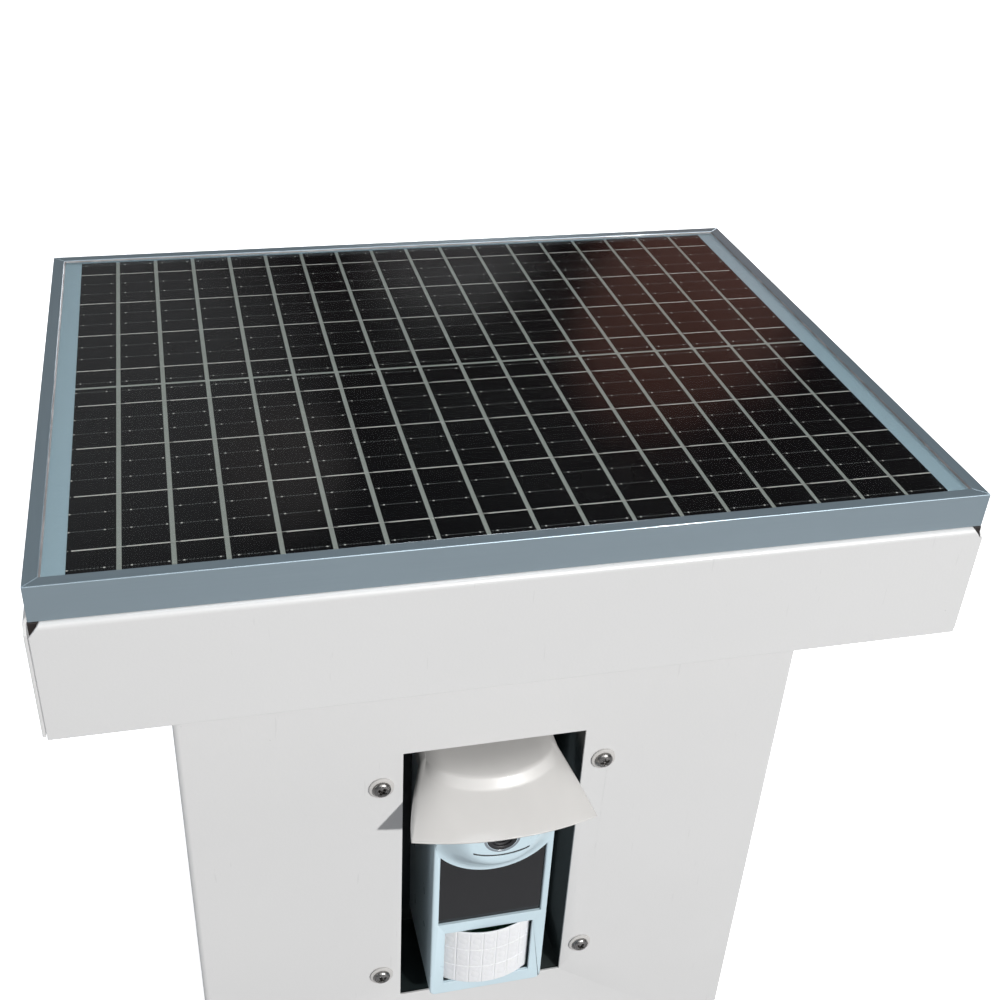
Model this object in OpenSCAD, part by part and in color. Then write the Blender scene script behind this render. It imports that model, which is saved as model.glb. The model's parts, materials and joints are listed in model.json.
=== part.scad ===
// Solar fence energizer: a sheet steel cabinet with a framed solar panel on its rain lid,
// a hooded motion detector in a front recess and the energizer, charge controller and
// battery behind a hinged rear door.
// Origin: centre of the footprint, at the undersides of the feet. Front is -Y, up is +Z.

/* [Panel] */
// Width of the solar panel
panel_w = 440; // [400:1:460]
// Depth of the solar panel
panel_d = 350; // [320:1:370]
// Height of the panel's frame
panel_h = 18; // [17:1:22]
// Width of the frame's top lip
lip_w = 6.5; // [6:0.1:9]
// Columns of cells
cell_cols = 18; // [12:1:18]
// Distance from one column of cells to the next
cell_pitch = 22.7; // [22:0.1:22.8]
// Length of each cut cell
cell_len = 166; // [150:1:166]

/* [Rain lid] */
// How far the lid stands out past the panel on each side
lid_margin = 2.5; // [2:0.5:4]
// Height of the lid's turned-down flanges
lid_drop = 63; // [50:1:80]
// Outer radius of the lid's bends
bend_r = 3; // [2.5:0.5:4]

/* [Cabinet] */
// Overall height, from the feet to the top of the panel
total_h = 480; // [470:1:500]
// Width of the cabinet
body_w = 340; // [330:1:344]
// Depth of the cabinet
body_d = 240; // [236:1:244]
// Thickness of the steel sheet
sheet = 1.5; // [1.2:0.1:1.6]
// Height of the rubber feet
foot_h = 12; // [10:1:16]

/* [Detector recess] */
// Width of the front cutout
cut_w = 103; // [100:1:104]
// Height of the front cutout
cut_h = 205; // [200:1:210]
// Distance from the panel's top down to the cutout's top edge
cut_drop = 172.3; // [170:0.1:175]

/* [Rear door] */
// Width of the door
door_w = 316; // [310:1:318]
// Height of the door
door_h = 369; // [360:1:370]
// Depth of the door's folded tray
door_t = 6.2; // [6:0.1:7]

/* [Output terminals] */
// Diameter of the terminal studs
stud_d = 6; // [5:1:6]
// Diameter of the terminal knobs
knob_d = 22; // [20:1:26]

/* [Hidden] */
$fn = 48;
eps = 0.01;

panel_z = total_h - panel_h;          // underside of the panel's frame
lip_t = 1;
glass_top = panel_z + panel_h - lip_t;
glass_t = 2.5;
cell_z = glass_top - glass_t - 0.5;   // underside of the cells
cell_t = 0.4;
cell_w = 20.5;
row_gap = 2.6;                        // between the two rows of cells
shelf_z = cell_z - 0.8;               // ledge that carries the laminate
ribbon_pitch = 42.97;                 // between the soldered ribbons of a row
ribbon_start = 19.7;                  // first ribbon, from the centre line

lid_w = panel_w + 2 * lid_margin;
lid_d = panel_d + 2 * lid_margin;
lid_top = panel_z;
lid_notch = [5, 6.4];                 // width and height clipped off the flanges' top corners
notch_depth = 16;                     // how far each clip runs back along the lid
lid_gap = 2.2;                        // how far each flange stops short of the lid's corners
gasket_t = 2;
body_top = lid_top - sheet - gasket_t;
body_bot = foot_h;
floor_z = body_bot + 2;               // upper face of the base plate
front_y = -body_d / 2;
back_y = body_d / 2;
wall_x = body_w / 2;
rim_w = 15;                           // the cabinet's turned-in top rim

cut_top = total_h - cut_drop;
cut_bot = cut_top - cut_h;
recess_y = -62;                       // inner face of the recess's back wall
recess_t = 1.2;
recess_in = cut_w / 2 + 1;            // half the recess's inner width
mount_x = 63.5;                       // front screws
mount_z = [cut_bot + 22.7, cut_top - 22.7];

det_w = 70.6;                         // detector
det_top = cut_top - 17.7;
det_bot = det_top - 178;
det_face = front_y - 11;
det_split = -98;
lens_z = cut_top - 48.7;
chin_r = 40;
chin_out = 14;
win_top = lens_z - 17;
win_bot = lens_z - 83;

plate_y = -43.5;                      // rear face of the equipment plate
ez_x = [15, 145];                     // energizer
ez_z = [215, 375];
ez_split = plate_y + 18;
ez_face = plate_y + 58;
switch_pos = [48, 345];
knob_pos = [108, 345];
ez_studs = [[50, 238], [110, 238]];
cc_x = [-145, -12];                   // charge controller
cc_z = [300, 370];
cc_face = plate_y + 33;
button_pos = [-35, 330];
bat = [181, 77, 167];                 // battery
bat_y = -5;

term_y = 60;                          // output terminals on the right wall
term_z = [280, 330];
door_bot = 25;
door_y = back_y + 0.8;                // front edge of the door's tray
open_w = 296;                         // rear opening
open_z = [door_bot + 10, door_bot + door_h - 10];
hinge = [-164, back_y + 10];
hinge_z = [90, 290];
hinge_len = 50;
lock_pos = [125, 209];

lid_bolts = [for (x = [-1, 1], y = [-80, 0, 80]) [x * (wall_x - 9), y]];
bolt_y = [-110, 110];                 // panel bolts, through the side rails
bolt_inset = 13;
panel_bolts = [for (x = [-1, 1], y = bolt_y) [x * (panel_w / 2 - bolt_inset), y]];
strap_bolts = [for (y = [bat_y - 12, bat_y + bat[1] + 12]) [0, y]];
base_bolts = [for (x = [-120, 120], y = [-80, 80]) [x, y]];
feet = [for (x = [-148, 148], y = [-98, 98]) [x, y]];

// ---- shared shapes ----

// Rectangle with round corners, centred
module round_rect(w, d, r) {
    square([w - 2 * r, d], center = true);
    square([w, d - 2 * r], center = true);
    for (x = [-1, 1], y = [-1, 1]) translate([x * (w / 2 - r), y * (d / 2 - r)]) circle(r);
}

// Plate in the XZ plane, from y0 to y1
module xz_plate(x0, x1, z0, z1, y0, y1) {
    translate([x0, y0, z0]) cube([x1 - x0, y1 - y0, z1 - z0]);
}

// Rounded block in the XZ plane, from y0 to y1
module xz_block(x0, x1, z0, z1, y0, y1, r) {
    translate([(x0 + x1) / 2, y1, (z0 + z1) / 2]) rotate([90, 0, 0])
        linear_extrude(y1 - y0) round_rect(x1 - x0, z1 - z0, r);
}

// Cylinder along Y, from y0 to y1
module y_rod(x, z, r, y0, y1) {
    translate([x, y1, z]) rotate([90, 0, 0]) cylinder(r = r, h = y1 - y0);
}

// Cylinder along X, from x0 to x1
module x_rod(y, z, r, x0, x1) {
    translate([x0, y, z]) rotate([0, 90, 0]) cylinder(r = r, h = x1 - x0);
}

// Pan head with a cross recess, standing on z = 0
module pan_head(r, h) {
    dome = 1.3 * r;
    difference() {
        intersection() {
            cylinder(r = r, h = h);
            translate([0, 0, h - dome]) sphere(dome);
        }
        for (a = [0, 90]) rotate(a) translate([-r * 0.55, -0.5, h - 1.6]) cube([r * 1.1, 1, 2]);
    }
}

// M5 screw, its head on z = 0 and its shank below
module m5_screw(length) {
    pan_head(5, 3);
    translate([0, 0, -length]) cylinder(d = 5, h = length + eps);
}

// M5 nut, its upper face at z = 0
module m5_nut() {
    translate([0, 0, -4]) difference() {
        cylinder(d = 9.2, h = 4, $fn = 6);
        translate([0, 0, -1]) cylinder(d = 5.1, h = 6);
    }
}

// Tube of radius r swept along a list of points, with 8 sides
function unit(v) = v / norm(v);
function heading(p, i) = unit(p[min(i + 1, len(p) - 1)] - p[max(i - 1, 0)]);
function side_of(t) = unit(cross(t, abs(t[1]) > 0.9 ? [1, 0, 0] : [0, 1, 0]));
function carried(n, t) = unit(n - (n * t) * t);
function sides_at(p, i) =
    i == 0 ? side_of(heading(p, 0)) : carried(sides_at(p, i - 1), heading(p, i));
module tube(p, r) {
    ring = 8;
    last = len(p) - 1;
    points = [for (i = [0:last])
        let (t = heading(p, i), a = sides_at(p, i), b = cross(t, a))
        for (k = [0:ring - 1]) p[i] + r * (cos(k * 360 / ring) * a + sin(k * 360 / ring) * b)];
    walls = [for (i = [0:last - 1], k = [0:ring - 1])
        let (m = (k + 1) % ring)
        [i * ring + k, (i + 1) * ring + k, (i + 1) * ring + m, i * ring + m]];
    caps = [[for (k = [0:ring - 1]) k], [for (k = [ring - 1:-1:0]) last * ring + k]];
    polyhedron(points, concat(walls, caps));
}

// ---- solar panel ----

// Frame section: x runs inwards from the outer face, y runs up
module rail_section() {
    difference() {
        union() {
            square([sheet, panel_h]);
            square([20, 1.5]);
            square([lip_w, shelf_z - panel_z]);
            translate([0, panel_h - lip_t]) square([lip_w, lip_t]);
        }
        translate([1.5, 1.5]) square([lip_w - 3, 9.5]);
    }
}

// Mitred rail along X, its outer face at y = -reach, with bolt holes in its bottom flange
module rail(length, reach, holes = []) {
    c = 30;
    translate([0, 0, panel_z]) difference() {
        intersection() {
            translate([-length / 2, -reach, 0]) rotate([90, 0, 90])
                linear_extrude(length) rail_section();
            translate([0, -reach, -1]) linear_extrude(panel_h + 2)
                polygon([[-length / 2, 0], [length / 2, 0], [length / 2 - c, c], [c - length / 2, c]]);
        }
        for (x = holes) translate([x, bolt_inset - reach, -1]) cylinder(d = 5.4, h = 4);
    }
}

module panel_rail_front() { color("lightslategray") rail(panel_w, panel_d / 2); }
module panel_rail_back() { color("lightslategray") rotate(180) rail(panel_w, panel_d / 2); }
module panel_rail_left() { color("lightslategray") rotate(-90) rail(panel_d, panel_w / 2, bolt_y); }
module panel_rail_right() { color("lightslategray") rotate(90) rail(panel_d, panel_w / 2, bolt_y); }

module panel_corner_keys() {
    near = 1.6;                       // just inside the rails' walls
    far = lip_w - near;
    leg = 25;
    height = 9.3;
    color("dimgray") for (x = [0, 1], y = [0, 1]) mirror([x, 0, 0]) mirror([0, y, 0])
        translate([-panel_w / 2, -panel_d / 2, panel_z + near]) linear_extrude(height)
            polygon([[near, near], [leg, near], [leg, far], [far, far], [far, leg], [near, leg]]);
}

module laminate_sheet(z, t) {
    edge = 1.7;
    translate([edge - panel_w / 2, edge - panel_d / 2, z])
        cube([panel_w - 2 * edge, panel_d - 2 * edge, t]);
}

module panel_glass() { color("skyblue", 0.3) laminate_sheet(glass_top - glass_t, glass_t); }
module panel_backsheet() { color("white") laminate_sheet(shelf_z, cell_z - shelf_z); }

module solar_cells() {
    first = -(cell_cols - 1) / 2 * cell_pitch - cell_w / 2;
    color([0.06, 0.05, 0.07]) for (i = [0:cell_cols - 1], y = [row_gap / 2, -row_gap / 2 - cell_len])
        translate([first + i * cell_pitch, y, cell_z]) cube([cell_w, cell_len, cell_t]);
}

module cell_ribbons() {
    reach = cell_cols * cell_pitch - 3;
    color("silver") for (side = [-1, 1], k = [0:3])
        translate([-reach / 2, side * (ribbon_start + k * ribbon_pitch) - 0.5, cell_z + cell_t])
            cube([reach, 1, 0.1]);
}

module junction_box() {
    clear = 0.7;
    color("black") translate([0, 80, panel_z + clear]) linear_extrude(shelf_z - panel_z - clear)
        round_rect(80, 60, 4);
}

// ---- rain lid ----

// Section of one turned-down flange: x runs inwards, y runs up to the lid's top
module flange_section() {
    translate([0, -lid_drop]) square([sheet, lid_drop - bend_r]);
    translate([bend_r, -bend_r]) intersection() {
        difference() {
            circle(bend_r);
            circle(bend_r - sheet);
        }
        translate([-bend_r, 0]) square(bend_r);
    }
    translate([bend_r, -sheet]) square([12, sheet]);
}

// Flange along X with its outer face at y = -reach and its top corners clipped
module lid_flange(length, reach) {
    difference() {
        translate([-length / 2, -reach, lid_top]) rotate([90, 0, 90])
            linear_extrude(length) flange_section();
        for (s = [-1, 1]) translate([s * length / 2, notch_depth - reach, lid_top])
            rotate([90, 0, 0]) linear_extrude(notch_depth + 1)
                polygon([[s, 1], [-s * lid_notch[0], 1], [-s * lid_notch[0], 0],
                         [0, -lid_notch[1]], [s, -lid_notch[1]]]);
    }
}

module rain_lid() {
    color("whitesmoke") difference() {
        union() {
            translate([0, 0, lid_top - sheet]) linear_extrude(sheet)
                square([lid_w - 2 * bend_r - 20, lid_d - 2 * bend_r - 20], center = true);
            for (a = [0, 180]) rotate(a) lid_flange(lid_w - 2 * lid_gap, lid_d / 2);
            for (a = [90, 270]) rotate(a) lid_flange(lid_d - 2 * lid_gap, lid_w / 2);
        }
        for (p = concat(lid_bolts, panel_bolts)) translate([p[0], p[1], lid_top - 5])
            cylinder(d = 5.4, h = 10);
        translate([0, 80, lid_top - 5]) cylinder(d = 14, h = 10);
    }
}

module lid_gasket() {
    color([0.1, 0.1, 0.1]) translate([0, 0, body_top]) difference() {
        linear_extrude(gasket_t) difference() {
            round_rect(body_w - 1, body_d - 1, 3);
            square([body_w - 2 * rim_w, body_d - 2 * rim_w], center = true);
        }
        for (p = lid_bolts) translate([p[0], p[1], -1]) cylinder(d = 5.4, h = 5);
    }
}

module lid_grommet() {
    color([0.08, 0.08, 0.08]) translate([0, 80, lid_top - sheet]) difference() {
        union() {
            translate([0, 0, -3]) cylinder(d = 20, h = 3);
            cylinder(d = 14, h = sheet);
        }
        translate([0, 0, -4]) cylinder(d = 6.2, h = 10);
    }
}

// ---- cabinet ----

module body_shell() {
    slots = 4;
    color("whitesmoke") difference() {
        translate([0, 0, body_bot]) linear_extrude(body_top - body_bot)
            round_rect(body_w, body_d, bend_r);
        translate([0, 0, body_bot - 1]) linear_extrude(body_top - body_bot - sheet + 1)
            round_rect(body_w - 2 * sheet, body_d - 2 * sheet, bend_r - sheet);
        translate([0, 0, body_top - 5]) linear_extrude(10)
            square([body_w - 2 * rim_w, body_d - 2 * rim_w], center = true);
        xz_plate(-open_w / 2, open_w / 2, open_z[0], open_z[1], back_y - 5, back_y + 20);
        xz_plate(-cut_w / 2, cut_w / 2, cut_bot, cut_top, front_y - 5, front_y + 5);
        for (x = [-1, 1], z = mount_z) y_rod(x * mount_x, z, 2.75, front_y - 5, front_y + 5);
        for (p = lid_bolts) translate([p[0], p[1], body_top - 5]) cylinder(d = 5.4, h = 10);
        for (z = term_z) x_rod(term_y, z, 7.1, wall_x - 5, wall_x + 5);
        for (s = [-1, 1], k = [0:slots - 1])
            translate([s * wall_x, 0, 415 + 8 * k]) cube([10, 60, 3], center = true);
    }
}

module base_plate() {
    lip = 20;
    w = body_w - 2 * sheet;
    d = body_d - 2 * sheet;
    color("whitesmoke") difference() {
        translate([0, 0, body_bot]) linear_extrude(lip + 2) round_rect(w, d, bend_r - sheet);
        translate([0, 0, floor_z]) linear_extrude(lip + 5)
            round_rect(w - 2 * sheet, d - 2 * sheet, 1);
        for (p = base_bolts) translate([p[0], p[1], 0]) cylinder(d = 9, h = 30);
        for (p = feet) translate([p[0], p[1], 0]) cylinder(d = 8, h = 30);
        for (p = strap_bolts) translate([p[0], p[1], 0]) cylinder(d = 5.4, h = 30);
    }
}

module rubber_feet() {
    color([0.1, 0.1, 0.1]) for (p = feet) translate([p[0], p[1], 0]) {
        cylinder(r1 = 13, r2 = 15, h = foot_h);
        translate([0, 0, foot_h - eps]) cylinder(d = 8, h = 4);
        translate([0, 0, floor_z]) cylinder(r1 = 5.5, r2 = 3.5, h = 4);
    }
}

module m5_bolts() {
    color("silver") {
        for (p = lid_bolts) translate([p[0], p[1], lid_top]) m5_screw(12);
        for (p = panel_bolts) translate([p[0], p[1], lid_top - sheet]) rotate([180, 0, 0]) m5_screw(10);
        for (p = strap_bolts) translate([p[0], p[1], floor_z + 2]) m5_screw(10);
    }
}

module m5_nuts() {
    color("silver") {
        for (p = lid_bolts) translate([p[0], p[1], body_top - sheet]) m5_nut();
        for (p = panel_bolts) translate([p[0], p[1], panel_z + 1.5]) rotate([180, 0, 0]) m5_nut();
        for (p = strap_bolts) translate([p[0], p[1], body_bot]) m5_nut();
        for (x = [-1, 1], z = mount_z)
            translate([x * mount_x, front_y + sheet + recess_t, z]) rotate([90, 0, 0]) m5_nut();
    }
}

// ---- detector recess ----

module recess_box() {
    back = recess_y + recess_t;
    flange = 24;
    color([0.07, 0.13, 0.14]) difference() {
        union() {
            xz_plate(-recess_in - flange, recess_in + flange, cut_bot - 12, cut_top + 12,
                     front_y + sheet, front_y + sheet + recess_t);
            xz_plate(-recess_in - recess_t, recess_in + recess_t, cut_bot - 1 - recess_t,
                     cut_top + 1 + recess_t, front_y + sheet, back);
        }
        xz_plate(-recess_in, recess_in, cut_bot - 1, cut_top + 1, front_y - 5, recess_y);
        for (x = [-1, 1], z = mount_z) y_rod(x * mount_x, z, 2.75, front_y - 5, front_y + 9);
        y_rod(0, 150, 3.1, recess_y - 5, back + 5);
    }
}

module front_screws() {
    color("silver") for (x = [-1, 1], z = mount_z)
        translate([x * mount_x, front_y - 1.2, z]) rotate([90, 30 * x, 0]) m5_screw(14);
}

module front_washers() {
    color("white") for (x = [-1, 1], z = mount_z) difference() {
        y_rod(x * mount_x, z, 7.1, front_y - 1.2, front_y);
        y_rod(x * mount_x, z, 2.6, front_y - 5, front_y + 5);
    }
}

// ---- motion detector ----

module detector_base() {
    wall = 2;
    h = det_w / 2;
    color("white") {
        difference() {
            xz_block(-h, h, det_bot, det_top, det_split, recess_y, 4);
            xz_block(wall - h, h - wall, det_bot + wall, det_top - wall, det_split - 1,
                     recess_y - wall, 3);
            y_rod(0, 150, 3.1, recess_y - 5, recess_y + 5);
        }
        for (x = [-26, 26], z = [det_bot + 12, det_top - 12])
            y_rod(x, z, 3, -104.4, recess_y - wall + eps);
    }
}

// Round chin that carries the camera, drawn inset by wall. Its section runs from the rim
// (t = 0) to the flat round the lens (t = 1) along a smooth S.
chin_flat = 17;
function chin_rise(t) = chin_out * (3 * t * t - 2 * t * t * t);
module chin_shape(wall) {
    steps = 14;
    slope = [for (k = [0:steps]) let (t = k / steps)
        [chin_r - (chin_r - chin_flat) * t - wall, max(0, chin_rise(t) - wall * t)]];
    translate([0, det_face, lens_z]) rotate([90, 0, 0]) rotate_extrude($fn = 96)
        polygon(concat([[0, -3], [chin_r - wall, -3]], slope, [[0, chin_out - wall]]));
}

// Space below the hood's visor, lowered by drop
module under_hood(drop) {
    half = 60;
    translate([-half, 0, -drop]) rotate([90, 0, 90]) linear_extrude(2 * half)
        polygon([[-160, det_bot - 5], [-60, det_bot - 5], [-60, det_top], [-100, det_top],
                 [-160, det_top - 25.5]]);
}

// Bent slot under the lens
module chin_slot() {
    r = 37.8;
    cz = lens_z - 13.3 + r;
    intersection() {
        difference() {
            y_rod(0, cz, r + 0.7, det_face - 30, det_face - 5);
            y_rod(0, cz, r - 0.7, det_face - 31, det_face - 4);
        }
        xz_plate(-16.1, 16.1, lens_z - 20, lens_z, det_face - 30, det_face - 5);
    }
}

module detector_cover() {
    wall = 2;
    h = det_w / 2;
    color("white") difference() {
        intersection() {
            union() {
                difference() {
                    xz_block(-h, h, det_bot, det_top, det_face, det_split, 4);
                    xz_plate(-31.2, 31.2, win_bot, win_top, det_face - 5, det_face + 5);
                    xz_plate(-27, 27, det_bot + 10, win_bot - 8, det_face - 5, det_face + 5);
                }
                intersection() {
                    chin_shape(0);
                    xz_plate(-h, h, det_bot, det_top, -200, det_face + wall);
                }
            }
            under_hood(0);
        }
        intersection() {
            union() {
                xz_block(wall - h, h - wall, det_bot + wall, det_top - wall, det_face + wall,
                         det_split + 1, 3);
                intersection() {
                    chin_shape(wall);
                    xz_plate(wall - h, h - wall, det_bot, det_top, -200, det_face + wall + 1);
                }
            }
            under_hood(wall);
        }
        y_rod(0, lens_z, 8.8, -200, -90);
        chin_slot();
    }
}

module detector_window() {
    color([0.02, 0.02, 0.03]) difference() {
        xz_plate(-33, 33, win_bot - 3, win_top + 3, det_face + 2, det_face + 3.5);
        y_rod(0, lens_z, 34, -200, -90);
    }
}

module detector_pir_lens() {
    r = 48;
    cy = det_face + 44;
    color([0.93, 0.94, 0.95]) translate([0, 0, det_bot + 10.2]) linear_extrude(win_bot - 18.4 - det_bot)
        intersection() {
            translate([0, cy]) difference() {
                circle(r, $fn = 96);
                circle(r - 1, $fn = 96);
            }
            translate([-26.8, det_face - 6]) square([53.6, 20]);
        }
}

// Hood: a flat cap over the housing that rolls down into a flared visor, with a brim along
// each side. u runs across: the brims lie beyond u = -1 and u = 1. v runs from the cap's
// rear edge (0) over the crease (1) to the rim (2).
cap_half = 36;
cap_rear = -68;
cap_side_y = -107;
cap_bow = 22;
cap_nose = 2;                         // how far the cap dips at the crease
nose_from = 0.75;                     // where that dip starts
rim_half = 52;
rim_y = -150;
rim_bow = 8;
visor_drop = 19.5;
fold_at = 0.14;                       // where the visor starts, below the cap's rolled edge
fold_dip = 2.7;
brim_w = 4.5;
brim_drop = 5;
hood_top = det_top + 2;
hood_t = 2;
function arch(u) = abs(u) < 1 ? sqrt(1 - u * u) : 0;
function crease(u) =
    [cap_half * u, cap_side_y - cap_bow * arch(u), hood_top - cap_nose * arch(u)];
function rim(u) = [rim_half * u, rim_y - rim_bow * (1 - u * u), hood_top - visor_drop - abs(u)];
function dip(t) = fold_dip * (t < fold_at ? t / fold_at : (1 - t) / (1 - fold_at));
function shell_point(u, v) =
    v <= 1 ? [cap_half * u, cap_rear * (1 - v) + crease(u)[1] * v,
              hood_top - cap_nose * arch(u) * pow(max(0, v - nose_from) / (1 - nose_from), 2)]
           : crease(u) * (2 - v) + rim(u) * (v - 1) - [0, 0, dip(v - 1) * arch(u)];
function brim(u, v) =
    (abs(u) - 1) * (v <= 1 ? 1 : 1 - pow(v - 1, 3)) * [sign(u) * brim_w, 0, -brim_drop];
function hood_point(u, v) = abs(u) <= 1 ? shell_point(u, v) : shell_point(sign(u), v) + brim(u, v);
function hood_inset(v) = [0, v <= 1 ? 0.25 * v : 0.53, v <= 1 ? -1 : -0.85];

// Solid between the hood's outer surface and its inner one
module hood_skin() {
    us = [-2, for (k = [-12:12]) sin(90 * k / 12), 2];
    vs = [0, nose_from, 0.88, 1, 1 + fold_at, 1.6, 2];
    m = len(us);
    n = len(vs);
    top = [for (v = vs, u = us) hood_point(u, v)];
    under = [for (v = vs, u = us) hood_point(u, v) + hood_t * hood_inset(v)];
    s = m * n;
    skins = [for (j = [0:n - 2], i = [0:m - 2])
        let (a = j * m + i, b = a + 1, c = a + m + 1, d = a + m)
        each [[a, b, c], [a, c, d], [s + c, s + b, s + a], [s + d, s + c, s + a]]];
    ends = [for (j = [0:n - 2], e = [0, 1])
        let (a = j * m + e * (m - 1), d = a + m)
        each e == 0 ? [[a, d, s + d], [a, s + d, s + a]] : [[d, a, s + a], [d, s + a, s + d]]];
    edges = [for (i = [0:m - 2], e = [0, 1])
        let (a = e * (n - 1) * m + i, b = a + 1)
        each e == 0 ? [[b, a, s + a], [b, s + a, s + b]] : [[a, b, s + b], [a, s + b, s + a]]];
    polyhedron(concat(top, under), concat(skins, ends, edges));
}

module detector_hood() {
    h = det_w / 2 + 0.2;
    color("lightgray") {
        hood_skin();
        for (s = [-1, 1]) translate([s * (h + 0.75) - 0.75, cap_side_y, det_top - 10])
            cube([1.5, cap_rear - cap_side_y - 2, 11]);
    }
}

module camera_barrel() {
    color([0.05, 0.05, 0.05]) difference() {
        y_rod(0, lens_z, 8.7, det_face - chin_out - 0.6, det_face + 12);
        y_rod(0, lens_z, 6, det_face - chin_out - 5, det_face - chin_out + 5);
    }
}

module camera_lens() {
    color([0.1, 0.12, 0.15]) intersection() {
        translate([0, det_face - chin_out + 9, lens_z]) sphere(9, $fn = 64);
        y_rod(0, lens_z, 5.9, det_face - chin_out - 1, det_face - chin_out + 5);
    }
}

module detector_board() {
    color("darkgreen") xz_plate(-31, 31, det_bot + 5, det_top - 5, -106, -104.4);
}

module detector_lead() {
    color([0.1, 0.1, 0.1]) tube([[0, recess_y - 2, 150], [0, -54, 150], [-4, -46, 151],
        [-10, -34, 157], [-18, -22, 170], [-28, -14, 190], [-38, -14, 215], [-44, -20, 242],
        [-46, -26, 268], [-46, -27, 290], [-46, -27, cc_z[0]]], 2.5);
}

// ---- equipment plate, energizer and charge controller ----

module equipment_plate() {
    color("gainsboro") difference() {
        xz_plate(sheet - wall_x, wall_x - sheet, 205, 445, plate_y - 16.5, plate_y);
        xz_plate(2 * sheet - wall_x, wall_x - 2 * sheet, 200, 450, plate_y - 20, plate_y - sheet);
    }
}

// Open box in the XZ plane; its open side faces y_open
module open_box(x, z, y0, y1, wall, r, open_low) {
    difference() {
        xz_block(x[0], x[1], z[0], z[1], y0, y1, r);
        xz_block(x[0] + wall, x[1] - wall, z[0] + wall, z[1] - wall,
                 open_low ? y0 - 1 : y0 + wall, open_low ? y1 - wall : y1 + 1, r - 1.5);
    }
}

module energizer_base() {
    color([0.12, 0.12, 0.13]) {
        open_box(ez_x, ez_z, plate_y, ez_split, 2.5, 8, false);
        for (x = [30, 130], z = [230, 310]) y_rod(x, z, 4, plate_y + 2, plate_y + 8);
    }
}

module energizer_cover() {
    color("olivedrab") difference() {
        open_box(ez_x, ez_z, ez_split, ez_face, 2.5, 8, true);
        xz_plate(switch_pos[0] - 7, switch_pos[0] + 7, switch_pos[1] - 10, switch_pos[1] + 10,
                 ez_face - 5, ez_face + 5);
        y_rod(knob_pos[0], knob_pos[1], 3.1, ez_face - 5, ez_face + 5);
        for (p = ez_studs) y_rod(p[0], p[1], 3.1, ez_face - 5, ez_face + 5);
        for (z = [255, 270]) x_rod(-12, z, 2.1, ez_x[0] - 5, ez_x[0] + 5);
    }
}

module energizer_board() {
    color("darkgreen") xz_plate(22, 138, 222, 322, plate_y + 8, plate_y + 9.6);
}

module pulse_transformer() {
    y0 = plate_y + 9.6;
    color([0.25, 0.2, 0.18]) {
        xz_plate(80, 134, 252, 296, y0, y0 + 14);
        xz_plate(88, 126, 252, 296, y0 + 14 - eps, y0 + 36);
        xz_plate(80, 134, 252, 260, y0 + 14 - eps, y0 + 36);
        xz_plate(80, 134, 288, 296, y0 + 14 - eps, y0 + 36);
    }
}

module storage_capacitors() {
    color("navy") for (x = [38, 64]) translate([x, plate_y + 22, 252]) cylinder(d = 24, h = 48);
}

module energizer_terminals() {
    color("goldenrod") for (p = ez_studs) {
        y_rod(p[0], p[1], 3, ez_face - 8, ez_face + 14);
        y_rod(p[0], p[1], 6, ez_face, ez_face + 3);
    }
}

module switch_housing() {
    x = switch_pos[0];
    z = switch_pos[1];
    color([0.06, 0.06, 0.06]) difference() {
        union() {
            xz_plate(x - 9, x + 9, z - 12, z + 12, ez_face, ez_face + 2);
            xz_plate(x - 6.9, x + 6.9, z - 9.9, z + 9.9, ez_face - 16, ez_face + eps);
        }
        xz_plate(x - 5.5, x + 5.5, z - 8.5, z + 8.5, ez_face - 9, ez_face + 5);
        x_rod(ez_face, z, 1.3, x - 6.5, x + 6.5);
    }
}

module rocker_paddle() {
    x = switch_pos[0];
    z = switch_pos[1];
    color("firebrick") {
        translate([x, ez_face, z]) rotate([-10, 0, 0]) translate([-5.2, -3, -7.8]) cube([10.4, 6, 15.6]);
        x_rod(ez_face, z, 1.25, x - 6.4, x + 6.4);
    }
}

module power_knob() {
    color([0.1, 0.1, 0.1]) translate([knob_pos[0], 0, knob_pos[1]]) difference() {
        union() {
            y_rod(0, 0, 3, ez_face - 12, ez_face + 2);
            y_rod(0, 0, 13, ez_face + 1, ez_face + 5);
            y_rod(0, 0, 10.5, ez_face + 4, ez_face + 15);
        }
        translate([-0.6, ez_face + 14, 3]) cube([1.2, 3, 10]);
        for (k = [0:11]) rotate([0, 30 * k + 15, 0]) y_rod(11.4, 0, 1.6, ez_face + 5, ez_face + 17);
    }
}

module controller_case() {
    color([0.16, 0.2, 0.25]) difference() {
        xz_block(cc_x[0], cc_x[1], cc_z[0], cc_z[1], plate_y, cc_face, 4);
        xz_block(cc_x[0] + 2.5, cc_x[1] - 2.5, cc_z[0] + 12, cc_z[1] - 2.5, plate_y + 2.5,
                 cc_face - 2.5, 3);
        xz_plate(-120, -66, 322, 352, cc_face - 1.2, cc_face + 5);
        y_rod(button_pos[0], button_pos[1], 5.3, cc_face - 5, cc_face + 5);
        for (k = [0:5]) xz_plate(-136 + 20 * k, -125 + 20 * k, cc_z[0] + 2, cc_z[0] + 9,
                                 cc_face - 8, cc_face + 5);
    }
}

module controller_display() {
    color([0.5, 0.6, 0.5]) xz_plate(-119.8, -66.2, 322.2, 351.8, cc_face - 1.2, cc_face + 0.3);
}

module controller_button() {
    color("orange") {
        y_rod(button_pos[0], button_pos[1], 5, cc_face - 4, cc_face + 1.8);
        y_rod(button_pos[0], button_pos[1], 6.2, cc_face - 5, cc_face - 3);
    }
}

// ---- battery ----

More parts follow.
